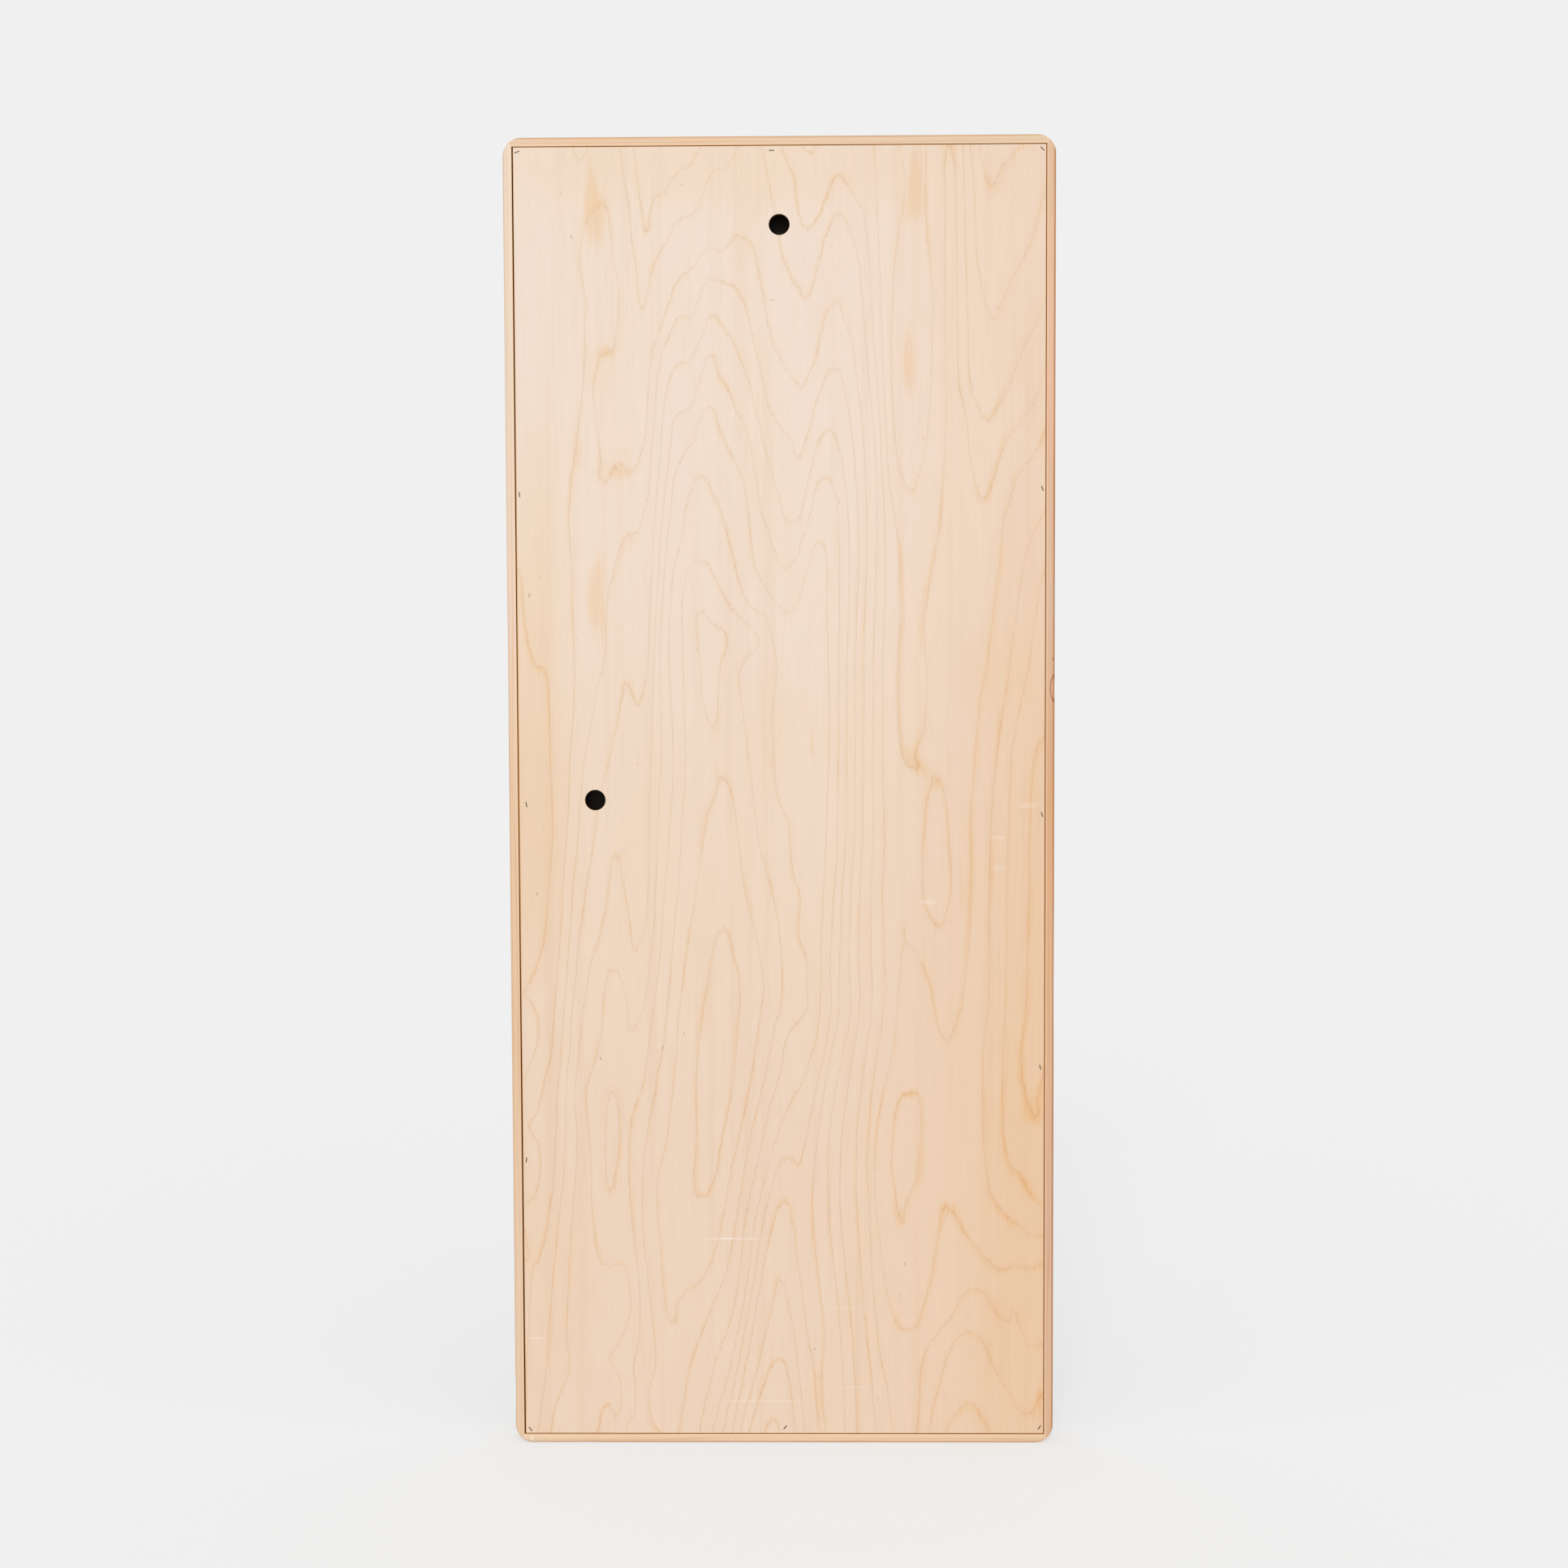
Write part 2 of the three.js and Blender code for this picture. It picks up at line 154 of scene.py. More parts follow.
# How each rail's colour changes along it: how far along, and the share of its own colour it keeps there
RAIL_SHADES = {
    "rail_left": (
        (0.02, (0.93, 0.83, 0.72)), (0.17, (0.94, 0.85, 0.76)), (0.32, (0.92, 0.78, 0.63)), (0.5, (0.97, 0.85, 0.73)),
        (0.65, (1, 0.93, 0.92)), (0.8, (1, 0.97, 0.94)), (0.97, (0.99, 1, 1)),
    ),
    "rail_right": (
        (0.02, (0.9, 0.91, 0.86)), (0.17, (0.91, 0.9, 0.92)), (0.32, (0.93, 0.88, 0.78)), (0.5, (0.92, 0.83, 0.67)),
        (0.65, (0.92, 0.97, 1)), (0.8, (1, 0.99, 0.97)), (0.97, (0.96, 1, 0.97)),
    ),
    "rail_head": (
        (0, (0.99, 1, 1)), (0.15, (1, 0.95, 0.89)),
        (0.6, (0.99, 0.99, 0.96)), (1, (0.96, 0.97, 0.93)),
    ),
    "rail_foot": (
        (0, (0.98, 1, 1)), (0.2, (0.99, 0.96, 0.92)),
        (0.7, (1, 0.95, 0.93)), (1, (0.94, 0.9, 0.82)),
    ),
}

# x, z, half-widths across and up, and strength of each pale scuff, in millimetres
SCUFFS = (
    (-72, 293, 60, 1.2, 1.0), (-80, 293, 14, 1.5, 0.8), (-32, 60, 80, 1.1, 0.7), (90, 193, 32, 1.0, 0.5),
    (100, 80, 32, 1.0, 0.5), (132, 385, 19, 1.0, 0.5), (-350, 150, 17, 1.4, 0.7), (205, 770, 16, 5, 0.4),
    (304, 860, 15, 5, 0.3), (304, 817, 15, 4, 0.3), (346, 905, 22, 5, 0.3),
)

# Growth lines of the veneer: the ring each belongs to, and its x, z places in millimetres
GRAIN_LINES = (
    # across the top, left to right
    (2, ((-284, 1815), (-278, 1802), (-272, 1794), (-266, 1803), (-261, 1815))),
    (1, ((-201, 1815), (-197, 1790), (-193, 1745), (-188, 1705), (-185, 1693), (-181, 1698), (-179, 1728),
         (-172, 1750), (-158, 1750), (-148, 1770), (-135, 1785), (-120, 1791), (-108, 1815))),
    (2, ((-219, 1815), (-215, 1785), (-208, 1745), (-203, 1690), (-198, 1640), (-196, 1605), (-193, 1592),
         (-184, 1607), (-176, 1645), (-165, 1675), (-155, 1685), (-147, 1708), (-138, 1717), (-118, 1720),
         (-108, 1740), (-98, 1770), (-90, 1785), (-78, 1779), (-68, 1792), (-60, 1805), (-55, 1815))),
    (0, ((30, 1815), (39, 1803), (47, 1815))),
    (1, ((3, 1815), (8, 1800), (16, 1785), (22, 1770), (24, 1740), (30, 1710), (37, 1700), (50, 1708), (58, 1725),
         (66, 1745), (74, 1770), (82, 1777), (90, 1768), (98, 1752), (108, 1740), (117, 1725), (121, 1690),
         (124, 1650), (127, 1600), (130, 1550), (134, 1500), (137, 1450), (139, 1410), (141, 1370), (144, 1320),
         (145, 1250), (145, 1200), (142, 1120), (141, 1000), (143, 850), (140, 780), (142, 700), (144, 650),
         (140, 600), (133, 560), (127, 520), (122, 480), (118, 430), (117, 380), (120, 330), (122, 290), (124, 240),
         (128, 200), (133, 150), (139, 108), (146, 85), (149, 50), (155, 15))),
    (2, ((-22, 1815), (-17, 1785), (-12, 1755), (-6, 1725), (-1, 1700), (1, 1680), (8, 1655), (17, 1630), (30, 1620),
         (34, 1604), (40, 1603), (46, 1622), (53, 1650), (62, 1685), (70, 1710), (78, 1723), (86, 1720), (95, 1702),
         (104, 1685), (111, 1650), (115, 1600), (119, 1550), (123, 1500), (127, 1460), (131, 1420), (133, 1370),
         (134, 1300), (134, 1250), (132, 1190), (129, 1100), (129, 1000), (128, 850), (125, 760), (125, 700),
         (127, 650), (125, 600), (120, 570), (115, 530), (110, 490), (105, 450), (104, 400), (104, 350), (107, 300),
         (111, 240), (115, 190), (120, 140), (124, 100), (128, 50), (132, 15))),
    # the wide arches and their flanks, from the left
    (3, ((-366, 450), (-355, 460), (-345, 475), (-340, 495), (-334, 525), (-326, 550), (-322, 590), (-318, 640),
         (-313, 700), (-309, 750), (-306, 800), (-302, 850), (-298, 900), (-296, 960), (-292, 1010), (-289, 1050),
         (-288, 1120), (-290, 1180), (-291, 1250), (-294, 1310), (-290, 1370), (-284, 1395), (-279, 1440),
         (-272, 1490), (-270, 1540), (-268, 1590), (-266, 1605), (-272, 1635), (-276, 1660), (-272, 1690),
         (-267, 1712), (-259, 1724), (-248, 1735), (-240, 1739), (-235, 1725), (-232, 1690), (-228, 1655),
         (-222, 1625), (-222, 1600), (-226, 1560), (-229, 1533), (-236, 1530), (-243, 1540), (-250, 1535),
         (-252, 1512), (-257, 1495), (-257, 1465), (-252, 1430), (-250, 1390), (-246, 1355), (-240, 1360),
         (-227, 1377), (-217, 1385), (-210, 1372), (-203, 1371), (-195, 1387), (-186, 1420), (-183, 1460),
         (-180, 1500), (-177, 1530), (-170, 1555), (-160, 1580), (-152, 1605), (-145, 1625), (-135, 1642),
         (-120, 1648), (-112, 1660), (-100, 1677), (-90, 1676), (-80, 1670), (-73, 1676), (-63, 1690), (-55, 1694),
         (-45, 1691), (-35, 1680), (-30, 1655), (-25, 1625), (-18, 1580), (-10, 1545), (0, 1525), (8, 1508),
         (20, 1500), (28, 1488), (33, 1485), (38, 1498), (48, 1520), (57, 1555), (65, 1590), (75, 1602), (83, 1602),
         (90, 1575), (98, 1555), (104, 1525), (108, 1480), (112, 1440), (117, 1390), (119, 1320), (119, 1250),
         (117, 1180), (115, 1100), (115, 1000), (113, 860), (109, 780), (107, 700), (109, 640), (105, 590), (98, 550),
         (92, 510), (86, 470), (82, 430), (80, 380), (80, 340), (83, 300), (87, 250), (93, 200), (97, 150), (101, 80),
         (103, 15))),
    (4, ((-366, 310), (-361, 280), (-356, 260), (-347, 256), (-341, 270), (-332, 315), (-325, 365), (-322, 400),
         (-319, 450), (-318, 490), (-314, 530), (-310, 570), (-308, 610), (-304, 650), (-300, 700), (-296, 750),
         (-292, 800), (-287, 840), (-284, 880), (-281, 910), (-278, 945), (-275, 970), (-270, 1000), (-263, 1030),
         (-258, 1065), (-253, 1085), (-246, 1102), (-243, 1130), (-243, 1170), (-240, 1208), (-233, 1225),
         (-228, 1245), (-225, 1262), (-217, 1279), (-210, 1287), (-202, 1286), (-196, 1292), (-189, 1317),
         (-182, 1342), (-180, 1370), (-178, 1400), (-175, 1430), (-173, 1470), (-170, 1500), (-165, 1525),
         (-157, 1548), (-150, 1568), (-142, 1583), (-135, 1588), (-127, 1581), (-121, 1578), (-113, 1602),
         (-103, 1627), (-93, 1637), (-80, 1629), (-62, 1624), (-50, 1605), (-42, 1580), (-35, 1545), (-27, 1510),
         (-20, 1475), (-12, 1452), (0, 1432), (10, 1418), (20, 1408), (25, 1388), (29, 1387), (35, 1405), (42, 1435),
         (50, 1465), (60, 1490), (68, 1508), (75, 1513), (83, 1507), (90, 1480), (98, 1440), (102, 1400), (106, 1350),
         (109, 1300), (110, 1250), (106, 1180), (104, 1100), (104, 1000), (102, 860), (97, 780), (94, 700), (96, 650),
         (98, 620), (94, 590), (85, 555), (78, 520), (72, 490), (66, 450), (64, 410), (64, 360), (66, 310), (70, 270),
         (75, 230), (79, 180), (82, 130), (85, 80), (87, 15))),
    (5, ((-350, 15), (-345, 45), (-340, 80), (-335, 120), (-334, 150), (-331, 185), (-327, 225), (-322, 280),
         (-317, 320), (-312, 360), (-309, 400), (-306, 450), (-306, 490), (-303, 530), (-299, 570), (-296, 610),
         (-292, 650), (-286, 710), (-280, 750), (-273, 800), (-265, 840), (-260, 880), (-257, 905), (-250, 935),
         (-245, 955), (-237, 985), (-228, 1020), (-221, 1060), (-216, 1085), (-212, 1083), (-205, 1055), (-199, 1037),
         (-195, 1048), (-188, 1080), (-184, 1110), (-182, 1160), (-180, 1210), (-177, 1260), (-174, 1310),
         (-170, 1350), (-166, 1390), (-163, 1430), (-160, 1462), (-155, 1490), (-147, 1512), (-137, 1523),
         (-124, 1517), (-115, 1535), (-107, 1560), (-100, 1580), (-95, 1586), (-85, 1580), (-72, 1560), (-62, 1545),
         (-52, 1515), (-44, 1500), (-38, 1475), (-30, 1440), (-22, 1405), (-12, 1372), (-5, 1350), (0, 1330),
         (5, 1308), (13, 1301), (22, 1298), (29, 1308), (35, 1335), (42, 1370), (50, 1402), (57, 1422), (68, 1427),
         (78, 1415), (85, 1390), (91, 1350), (94, 1310), (95, 1250), (94, 1180), (92, 1100), (92, 1000), (90, 860),
         (84, 770), (81, 700), (80, 650), (79, 620), (75, 590), (68, 560), (62, 530), (57, 500), (52, 460), (47, 420),
         (43, 380), (42, 340), (43, 300), (47, 260), (52, 215), (56, 180), (58, 150), (55, 110), (55, 60), (58, 15))),
    (6, ((-332, 15), (-327, 40), (-321, 64), (-312, 80), (-305, 100), (-303, 122), (-307, 138), (-308, 155),
         (-306, 200), (-303, 250), (-300, 300), (-296, 350), (-292, 390), (-290, 425), (-291, 460), (-294, 500),
         (-290, 530), (-285, 570), (-281, 610), (-274, 650), (-270, 680), (-263, 705), (-255, 730), (-247, 760),
         (-242, 800), (-238, 830), (-232, 842), (-226, 825), (-220, 790), (-212, 740), (-208, 705), (-203, 697),
         (-197, 720), (-190, 737), (-188, 760), (-186, 800), (-184, 850), (-185, 900), (-182, 950), (-180, 1000),
         (-179, 1050), (-177, 1100), (-176, 1150), (-172, 1200), (-169, 1250), (-165, 1300), (-160, 1340),
         (-155, 1385), (-151, 1420), (-148, 1443), (-140, 1453), (-130, 1452), (-122, 1457), (-115, 1480),
         (-108, 1510), (-103, 1528), (-96, 1535), (-90, 1527), (-82, 1500), (-70, 1482), (-62, 1455), (-53, 1440),
         (-45, 1425), (-40, 1400), (-33, 1350), (-25, 1310), (-15, 1280), (-7, 1258), (0, 1240), (5, 1235),
         (15, 1240), (23, 1247), (30, 1275), (38, 1300), (45, 1335), (52, 1357), (60, 1364), (70, 1355), (78, 1340),
         (81, 1300), (82, 1250), (82, 1200), (81, 1100), (81, 1000), (79, 900), (77, 830), (73, 780), (70, 730),
         (67, 690), (68, 650), (71, 625), (65, 590), (60, 560), (53, 530), (47, 500), (40, 465), (33, 435), (28, 410),
         (23, 395), (15, 400), (6, 411), (-2, 407), (-8, 395), (-14, 375), (-22, 345), (-28, 320), (-33, 288),
         (-38, 250), (-44, 220), (-50, 185), (-57, 152), (-63, 120), (-71, 80), (-79, 50), (-87, 15))),
    (7, ((-237, 15), (-235, 35), (-230, 50), (-229, 75), (-232, 95), (-240, 105), (-248, 118), (-244, 129),
         (-235, 142), (-225, 160), (-218, 180), (-215, 200), (-218, 225), (-220, 248), (-228, 259), (-238, 254),
         (-249, 251), (-257, 257), (-263, 272), (-267, 300), (-270, 340), (-270, 390), (-272, 430), (-276, 470),
         (-277, 500), (-272, 523), (-262, 548), (-254, 590), (-250, 640), (-246, 665), (-238, 680), (-229, 674),
         (-221, 648), (-216, 620), (-213, 598), (-207, 588), (-200, 602), (-194, 622), (-189, 650), (-185, 690),
         (-181, 730), (-178, 780), (-175, 830), (-174, 880), (-172, 920), (-168, 960), (-168, 1000), (-168, 1050),
         (-169, 1100), (-168, 1150), (-164, 1200), (-160, 1250), (-156, 1290), (-152, 1320), (-150, 1345),
         (-145, 1370), (-137, 1390), (-127, 1402), (-121, 1407), (-115, 1430), (-108, 1455), (-98, 1461), (-90, 1455),
         (-83, 1430), (-73, 1405), (-62, 1380), (-52, 1360), (-47, 1335), (-42, 1290), (-38, 1250), (-30, 1225),
         (-20, 1208), (-8, 1190), (2, 1177), (12, 1173), (20, 1180), (28, 1202), (38, 1238), (47, 1268), (55, 1275),
         (62, 1262), (65, 1235), (64, 1190), (66, 1110), (68, 1030), (67, 970), (64, 900), (61, 830), (57, 760),
         (55, 700), (54, 650), (52, 610), (47, 575), (39, 548), (30, 520), (19, 499), (8, 480), (-2, 458), (-12, 430),
         (-20, 400), (-28, 365), (-36, 335), (-41, 305), (-45, 275), (-50, 240), (-55, 205), (-60, 178), (-66, 150),
         (-72, 122), (-80, 90), (-90, 58), (-100, 15))),
    (8, ((-226, 15), (-222, 31), (-212, 35), (-210, 60), (-211, 90), (-214, 110), (-209, 127), (-204, 150),
         (-203, 185), (-204, 220), (-207, 260), (-212, 305), (-215, 340), (-216, 390), (-215, 430), (-212, 465),
         (-205, 489), (-197, 503), (-193, 530), (-188, 570), (-183, 610), (-178, 650), (-172, 690), (-168, 740),
         (-165, 780), (-160, 830), (-156, 880), (-152, 930), (-150, 970), (-152, 1020), (-154, 1070), (-156, 1115),
         (-155, 1160), (-152, 1205), (-148, 1240), (-140, 1265), (-135, 1290), (-132, 1320), (-125, 1337),
         (-118, 1355), (-110, 1367), (-102, 1362), (-92, 1338), (-82, 1315), (-75, 1290), (-68, 1260), (-62, 1235),
         (-55, 1210), (-45, 1188), (-35, 1177), (-22, 1172), (-15, 1155), (-10, 1125), (-5, 1100), (-8, 1075),
         (-12, 1045), (-13, 1010), (-11, 965), (-9, 940), (-4, 915), (2, 898), (9, 885), (11, 862), (14, 820),
         (20, 797), (25, 783), (26, 765), (23, 748), (23, 722), (30, 702), (36, 686), (34, 660), (36, 638), (38, 621),
         (30, 610), (18, 598), (8, 585), (2, 566), (0, 545), (-6, 518), (-13, 498), (-20, 475), (-27, 445),
         (-34, 408), (-42, 375), (-50, 340), (-57, 300), (-60, 262), (-63, 228), (-70, 192), (-78, 165), (-88, 140),
         (-97, 112), (-105, 82), (-112, 55), (-120, 15))),
    (9, ((-172, 15), (-184, 24), (-191, 42), (-192, 70), (-188, 91), (-182, 102), (-181, 125), (-183, 155),
         (-188, 200), (-193, 250), (-198, 292), (-200, 335), (-198, 380), (-195, 420), (-188, 465), (-180, 500),
         (-175, 530), (-168, 560), (-163, 600), (-159, 640), (-155, 690), (-150, 740), (-145, 790), (-141, 850),
         (-138, 900), (-134, 950), (-134, 1000), (-136, 1090), (-137, 1170), (-136, 1205), (-130, 1234), (-120, 1246),
         (-110, 1249), (-100, 1242), (-92, 1225), (-82, 1205), (-72, 1186), (-60, 1173), (-47, 1162), (-38, 1151),
         (-30, 1140), (-31, 1128), (-42, 1117), (-52, 1107), (-58, 1093), (-58, 1066), (-53, 1040), (-48, 1000),
         (-44, 960), (-40, 920), (-37, 890), (-32, 852), (-22, 815), (-12, 776), (-4, 742), (-1, 705), (0, 655),
         (-3, 618), (-10, 598), (-15, 570), (-21, 540), (-28, 510), (-36, 478), (-44, 445), (-51, 410), (-58, 372),
         (-64, 332), (-70, 292), (-80, 247), (-92, 215), (-107, 180), (-121, 145), (-130, 118), (-138, 85),
         (-143, 55), (-148, 15))),
    (10, ((-158, 168), (-153, 173), (-150, 190), (-147, 207), (-140, 215), (-130, 221), (-115, 235), (-103, 255),
         (-95, 280), (-87, 312), (-80, 350), (-73, 392), (-65, 425), (-58, 455), (-50, 490), (-44, 522), (-40, 550),
         (-36, 578), (-31, 610), (-27, 633), (-25, 652), (-28, 678), (-33, 703), (-40, 735), (-48, 767), (-55, 812),
         (-60, 860), (-65, 905), (-70, 930), (-78, 945), (-88, 930), (-97, 910), (-103, 890), (-110, 850),
         (-118, 800), (-125, 757), (-131, 720), (-137, 680), (-142, 640), (-147, 600), (-149, 560), (-152, 520),
         (-157, 480), (-162, 440), (-168, 410), (-175, 395), (-178, 360), (-177, 320), (-173, 280), (-171, 240),
         (-169, 210), (-165, 183), (-158, 168))),
    (10, ((-118, 1178), (-110, 1178), (-103, 1169), (-95, 1158), (-82, 1154), (-74, 1141), (-79, 1117), (-85, 1095),
         (-87, 1060), (-88, 1030), (-93, 1014), (-99, 1019), (-106, 1040), (-112, 1075), (-114, 1120), (-119, 1152),
         (-118, 1178))),
    (11, ((-82, 736), (-75, 728), (-70, 705), (-62, 675), (-59, 648), (-60, 615), (-63, 585), (-66, 550), (-70, 512),
         (-75, 480), (-82, 450), (-88, 420), (-92, 392), (-98, 370), (-108, 355), (-117, 351), (-124, 365),
         (-126, 390), (-122, 406), (-122, 450), (-122, 500), (-120, 550), (-115, 592), (-110, 625), (-105, 652),
         (-100, 690), (-95, 710), (-90, 728), (-82, 736))),
    # peaks low in the middle
    (5, ((-73, 15), (-65, 58), (-57, 95), (-50, 130), (-43, 168), (-37, 203), (-31, 238), (-25, 270), (-19, 295),
         (-13, 317), (-8, 336), (0, 348), (8, 337), (15, 305), (20, 260), (26, 215), (30, 182), (35, 142), (40, 120),
         (43, 90), (46, 50), (50, 15))),
    (4, ((-62, 15), (-55, 43), (-45, 78), (-36, 110), (-28, 145), (-20, 178), (-14, 202), (-8, 225), (-2, 238),
         (4, 224), (8, 197), (14, 165), (19, 122), (24, 75), (30, 15))),
    (3, ((-50, 15), (-45, 33), (-37, 58), (-28, 85), (-20, 105), (-12, 118), (-3, 123), (3, 115), (8, 92), (13, 55),
         (17, 15))),
    # small loops on the left
    (8, ((-240, 508), (-234, 495), (-230, 470), (-230, 430), (-234, 400), (-240, 370), (-247, 356), (-251, 378),
         (-251, 420), (-250, 460), (-246, 490), (-240, 508))),
    (7, ((-258, 15), (-257, 45), (-250, 58), (-244, 54), (-242, 15))),
    (2, ((-361, 1230), (-358, 1190), (-355, 1150), (-347, 1117), (-340, 1100), (-332, 1095), (-327, 1098),
         (-325, 1080), (-323, 1040), (-323, 1000), (-322, 950), (-320, 900), (-321, 850), (-325, 800), (-330, 750),
         (-333, 720), (-341, 690), (-351, 665), (-366, 635))),
    # the right of the sheet
    (0, ((131, 1815), (133, 1760), (136, 1700), (139, 1640), (140, 1600), (142, 1550), (144, 1500), (146, 1450),
         (148, 1400), (151, 1350), (155, 1330), (160, 1300), (165, 1260), (166, 1200), (167, 1160), (164, 1130),
         (162, 1080), (162, 1050), (164, 1010), (168, 980), (173, 957), (182, 975), (192, 992), (198, 1005),
         (202, 1040), (204, 1070), (203, 1100), (200, 1130), (199, 1155), (203, 1190), (208, 1225), (215, 1260),
         (220, 1290), (224, 1330), (228, 1380), (231, 1450), (231, 1550), (230, 1650), (230, 1815))),
    (-1, ((166, 1815), (169, 1795), (174, 1770), (173, 1745), (168, 1715), (163, 1690), (158, 1650), (156, 1600),
         (154, 1550), (154, 1500), (156, 1450), (160, 1400), (166, 1370), (172, 1352), (181, 1343), (188, 1350),
         (195, 1375), (202, 1410), (207, 1450), (210, 1500), (211, 1550), (212, 1600), (208, 1650), (203, 1700),
         (202, 1750), (203, 1815))),
    (0, ((240, 1815), (242, 1750), (243, 1700), (245, 1600), (245, 1520), (247, 1480), (255, 1455), (259, 1430),
         (263, 1387), (268, 1355), (275, 1335), (281, 1326), (288, 1335), (295, 1358), (302, 1380), (310, 1403),
         (320, 1422), (335, 1438), (347, 1455), (357, 1478), (367, 1515))),
    (-1, ((252, 1815), (255, 1750), (256, 1700), (258, 1620), (260, 1560), (261, 1510), (265, 1480), (272, 1460),
         (279, 1446), (287, 1439), (295, 1447), (305, 1463), (318, 1487), (328, 1515), (340, 1545), (350, 1563),
         (360, 1585), (367, 1605))),
    (-2, ((262, 1815), (266, 1790), (269, 1740), (270, 1700), (273, 1650), (280, 1615), (287, 1590), (292, 1577),
         (300, 1588), (310, 1608), (322, 1635), (335, 1658), (348, 1685), (358, 1720), (367, 1755))),
    (-3, ((274, 1815), (279, 1790), (284, 1765), (290, 1757), (298, 1768), (306, 1785), (315, 1798), (330, 1810),
         (336, 1816))),
    (1, ((367, 1425), (360, 1408), (350, 1390), (335, 1370), (327, 1362), (320, 1335), (312, 1310), (308, 1290),
         (305, 1250), (299, 1200), (293, 1150), (288, 1110), (282, 1080), (277, 1050), (273, 1010), (270, 970),
         (267, 925), (265, 880), (266, 830), (267, 780), (265, 730), (260, 690), (256, 650), (251, 620), (245, 600),
         (236, 579), (227, 572), (220, 590), (213, 620), (208, 650), (200, 675), (192, 695), (185, 708), (176, 708),
         (171, 742), (167, 705), (165, 670), (163, 640), (160, 595), (155, 560), (148, 530), (141, 500), (134, 460),
         (131, 430), (129, 390), (130, 352), (133, 320), (136, 290), (140, 250), (147, 212), (155, 185), (163, 166),
         (172, 159), (185, 163), (193, 175), (201, 205), (210, 240), (216, 280), (220, 310), (224, 336), (232, 341),
         (240, 330), (252, 310), (262, 295), (275, 278), (287, 263), (300, 252), (307, 247), (325, 254), (340, 249),
         (355, 253), (367, 255))),
    (0, ((221, 945), (228, 920), (233, 890), (234, 850), (238, 810), (239, 785), (234, 765), (228, 742), (220, 731),
         (210, 745), (200, 765), (197, 800), (197, 840), (200, 880), (202, 915), (210, 931), (221, 945))),
    (2, ((165, 495), (175, 500), (187, 502), (193, 490), (195, 450), (192, 410), (188, 378), (180, 360), (174, 350),
         (170, 330), (166, 308), (162, 325), (158, 355), (153, 390), (153, 420), (156, 455), (160, 480), (165, 495))),
    (2, ((367, 1310), (358, 1300), (350, 1280), (343, 1260), (338, 1240), (333, 1210), (328, 1175), (322, 1130),
         (317, 1090), (311, 1050), (305, 1010), (301, 980), (297, 940), (294, 900), (292, 860), (291, 800),
         (290, 740), (291, 680), (289, 620), (283, 580), (281, 530), (281, 470), (283, 420), (288, 380), (294, 356),
         (303, 342), (312, 328), (325, 318), (340, 303), (355, 298), (367, 295))),
    (3, ((364, 1225), (357, 1190), (353, 1160), (348, 1120), (342, 1085), (335, 1050), (327, 1010), (322, 985),
         (319, 940), (317, 880), (315, 820), (314, 750), (314, 680), (313, 620), (310, 570), (309, 500), (310, 440),
         (315, 415), (321, 395), (332, 386), (340, 375), (348, 355), (358, 346), (367, 340))),
    (4, ((367, 1000), (355, 985), (350, 950), (348, 900), (346, 850), (346, 780), (344, 700), (343, 640), (340, 595),
         (335, 555), (336, 520), (342, 500), (346, 480), (352, 460), (357, 475), (361, 505), (367, 540))),
    (0, ((190, 15), (192, 60), (194, 100), (200, 130), (210, 148), (225, 165), (238, 181), (250, 206), (262, 220),
         (275, 222), (285, 212), (295, 200), (302, 181), (312, 172), (320, 181), (325, 198), (330, 190), (335, 165),
         (342, 145), (352, 137), (367, 141))),
    (-1, ((205, 15), (212, 50), (220, 80), (228, 110), (237, 138), (248, 153), (260, 160), (272, 156), (282, 145),
         (292, 125), (300, 100), (310, 87), (320, 72), (330, 50), (340, 40), (350, 43), (358, 55), (367, 75))),
    (-2, ((230, 15), (237, 35), (248, 45), (260, 62), (268, 56), (278, 42), (287, 25), (293, 15))),
    # quiet ground, where no line runs
    (2.55, ((-340, 1800), (-340, 1600), (-340, 1400), (-345, 1280))),
    (1.6, ((-350, 1050), (-350, 760))),
    (2.7, ((-237, 1480), (-228, 1430), (-212, 1405))),
    (3.5, ((-265, 1320), (-235, 1332), (-205, 1338), (-192, 1352))),
    (3.5, ((-266, 1260), (-266, 1130))),
    (4.5, ((-205, 1240), (-212, 1150), (-206, 1090))),
    (5.4, ((-215, 1045), (-210, 1000), (-208, 950))),
    (7.3, ((-250, 12), (-250, 40))),
    (4.4, ((360, 760), (358, 600), (354, 520))),
    (3.5, ((350, 415), (365, 425))),
    (0.6, ((236, 1790), (237, 1500), (241, 1400), (250, 1250), (250, 1000), (248, 850), (235, 680))),
    (0.6, ((176, 920), (172, 790))),
    (0.6, ((170, 20), (168, 125))),
    (1.4, ((238, 535), (245, 450), (248, 380))),
    (1.4, ((172, 285), (172, 200))),
    (1.4, ((175, 640), (172, 560))),
    (-1.5, ((180, 1650), (178, 1560), (178, 1470), (180, 1400))),
)


# ---------------------------------------------------------------- colours


def linear(red, green, blue):
    """A colour from 0-255 values, as the light it gives back."""
    return tuple(
        (c / 255 / 12.92 if c < 11 else ((c / 255 + 0.055) / 1.055) ** 2.4)
        for c in (red, green, blue)
    )


def lit(red, green, blue):
    """The paint that looks like this colour under the studio light."""
    return tuple(c / FACE_LIGHT for c in linear(red, green, blue))


def rgba(colour):
    """A colour property or a tuple as the four numbers that a socket takes."""
    return (*tuple(colour)[:3], 1.0)


def size_of(label, about, millimetres):
    """A length property."""
    return bpy.props.FloatProperty(
        name=label,
        description=about,
        default=millimetres * MM,
        min=0.0,
        precision=5,
        subtype="DISTANCE",
        unit="LENGTH",
    )


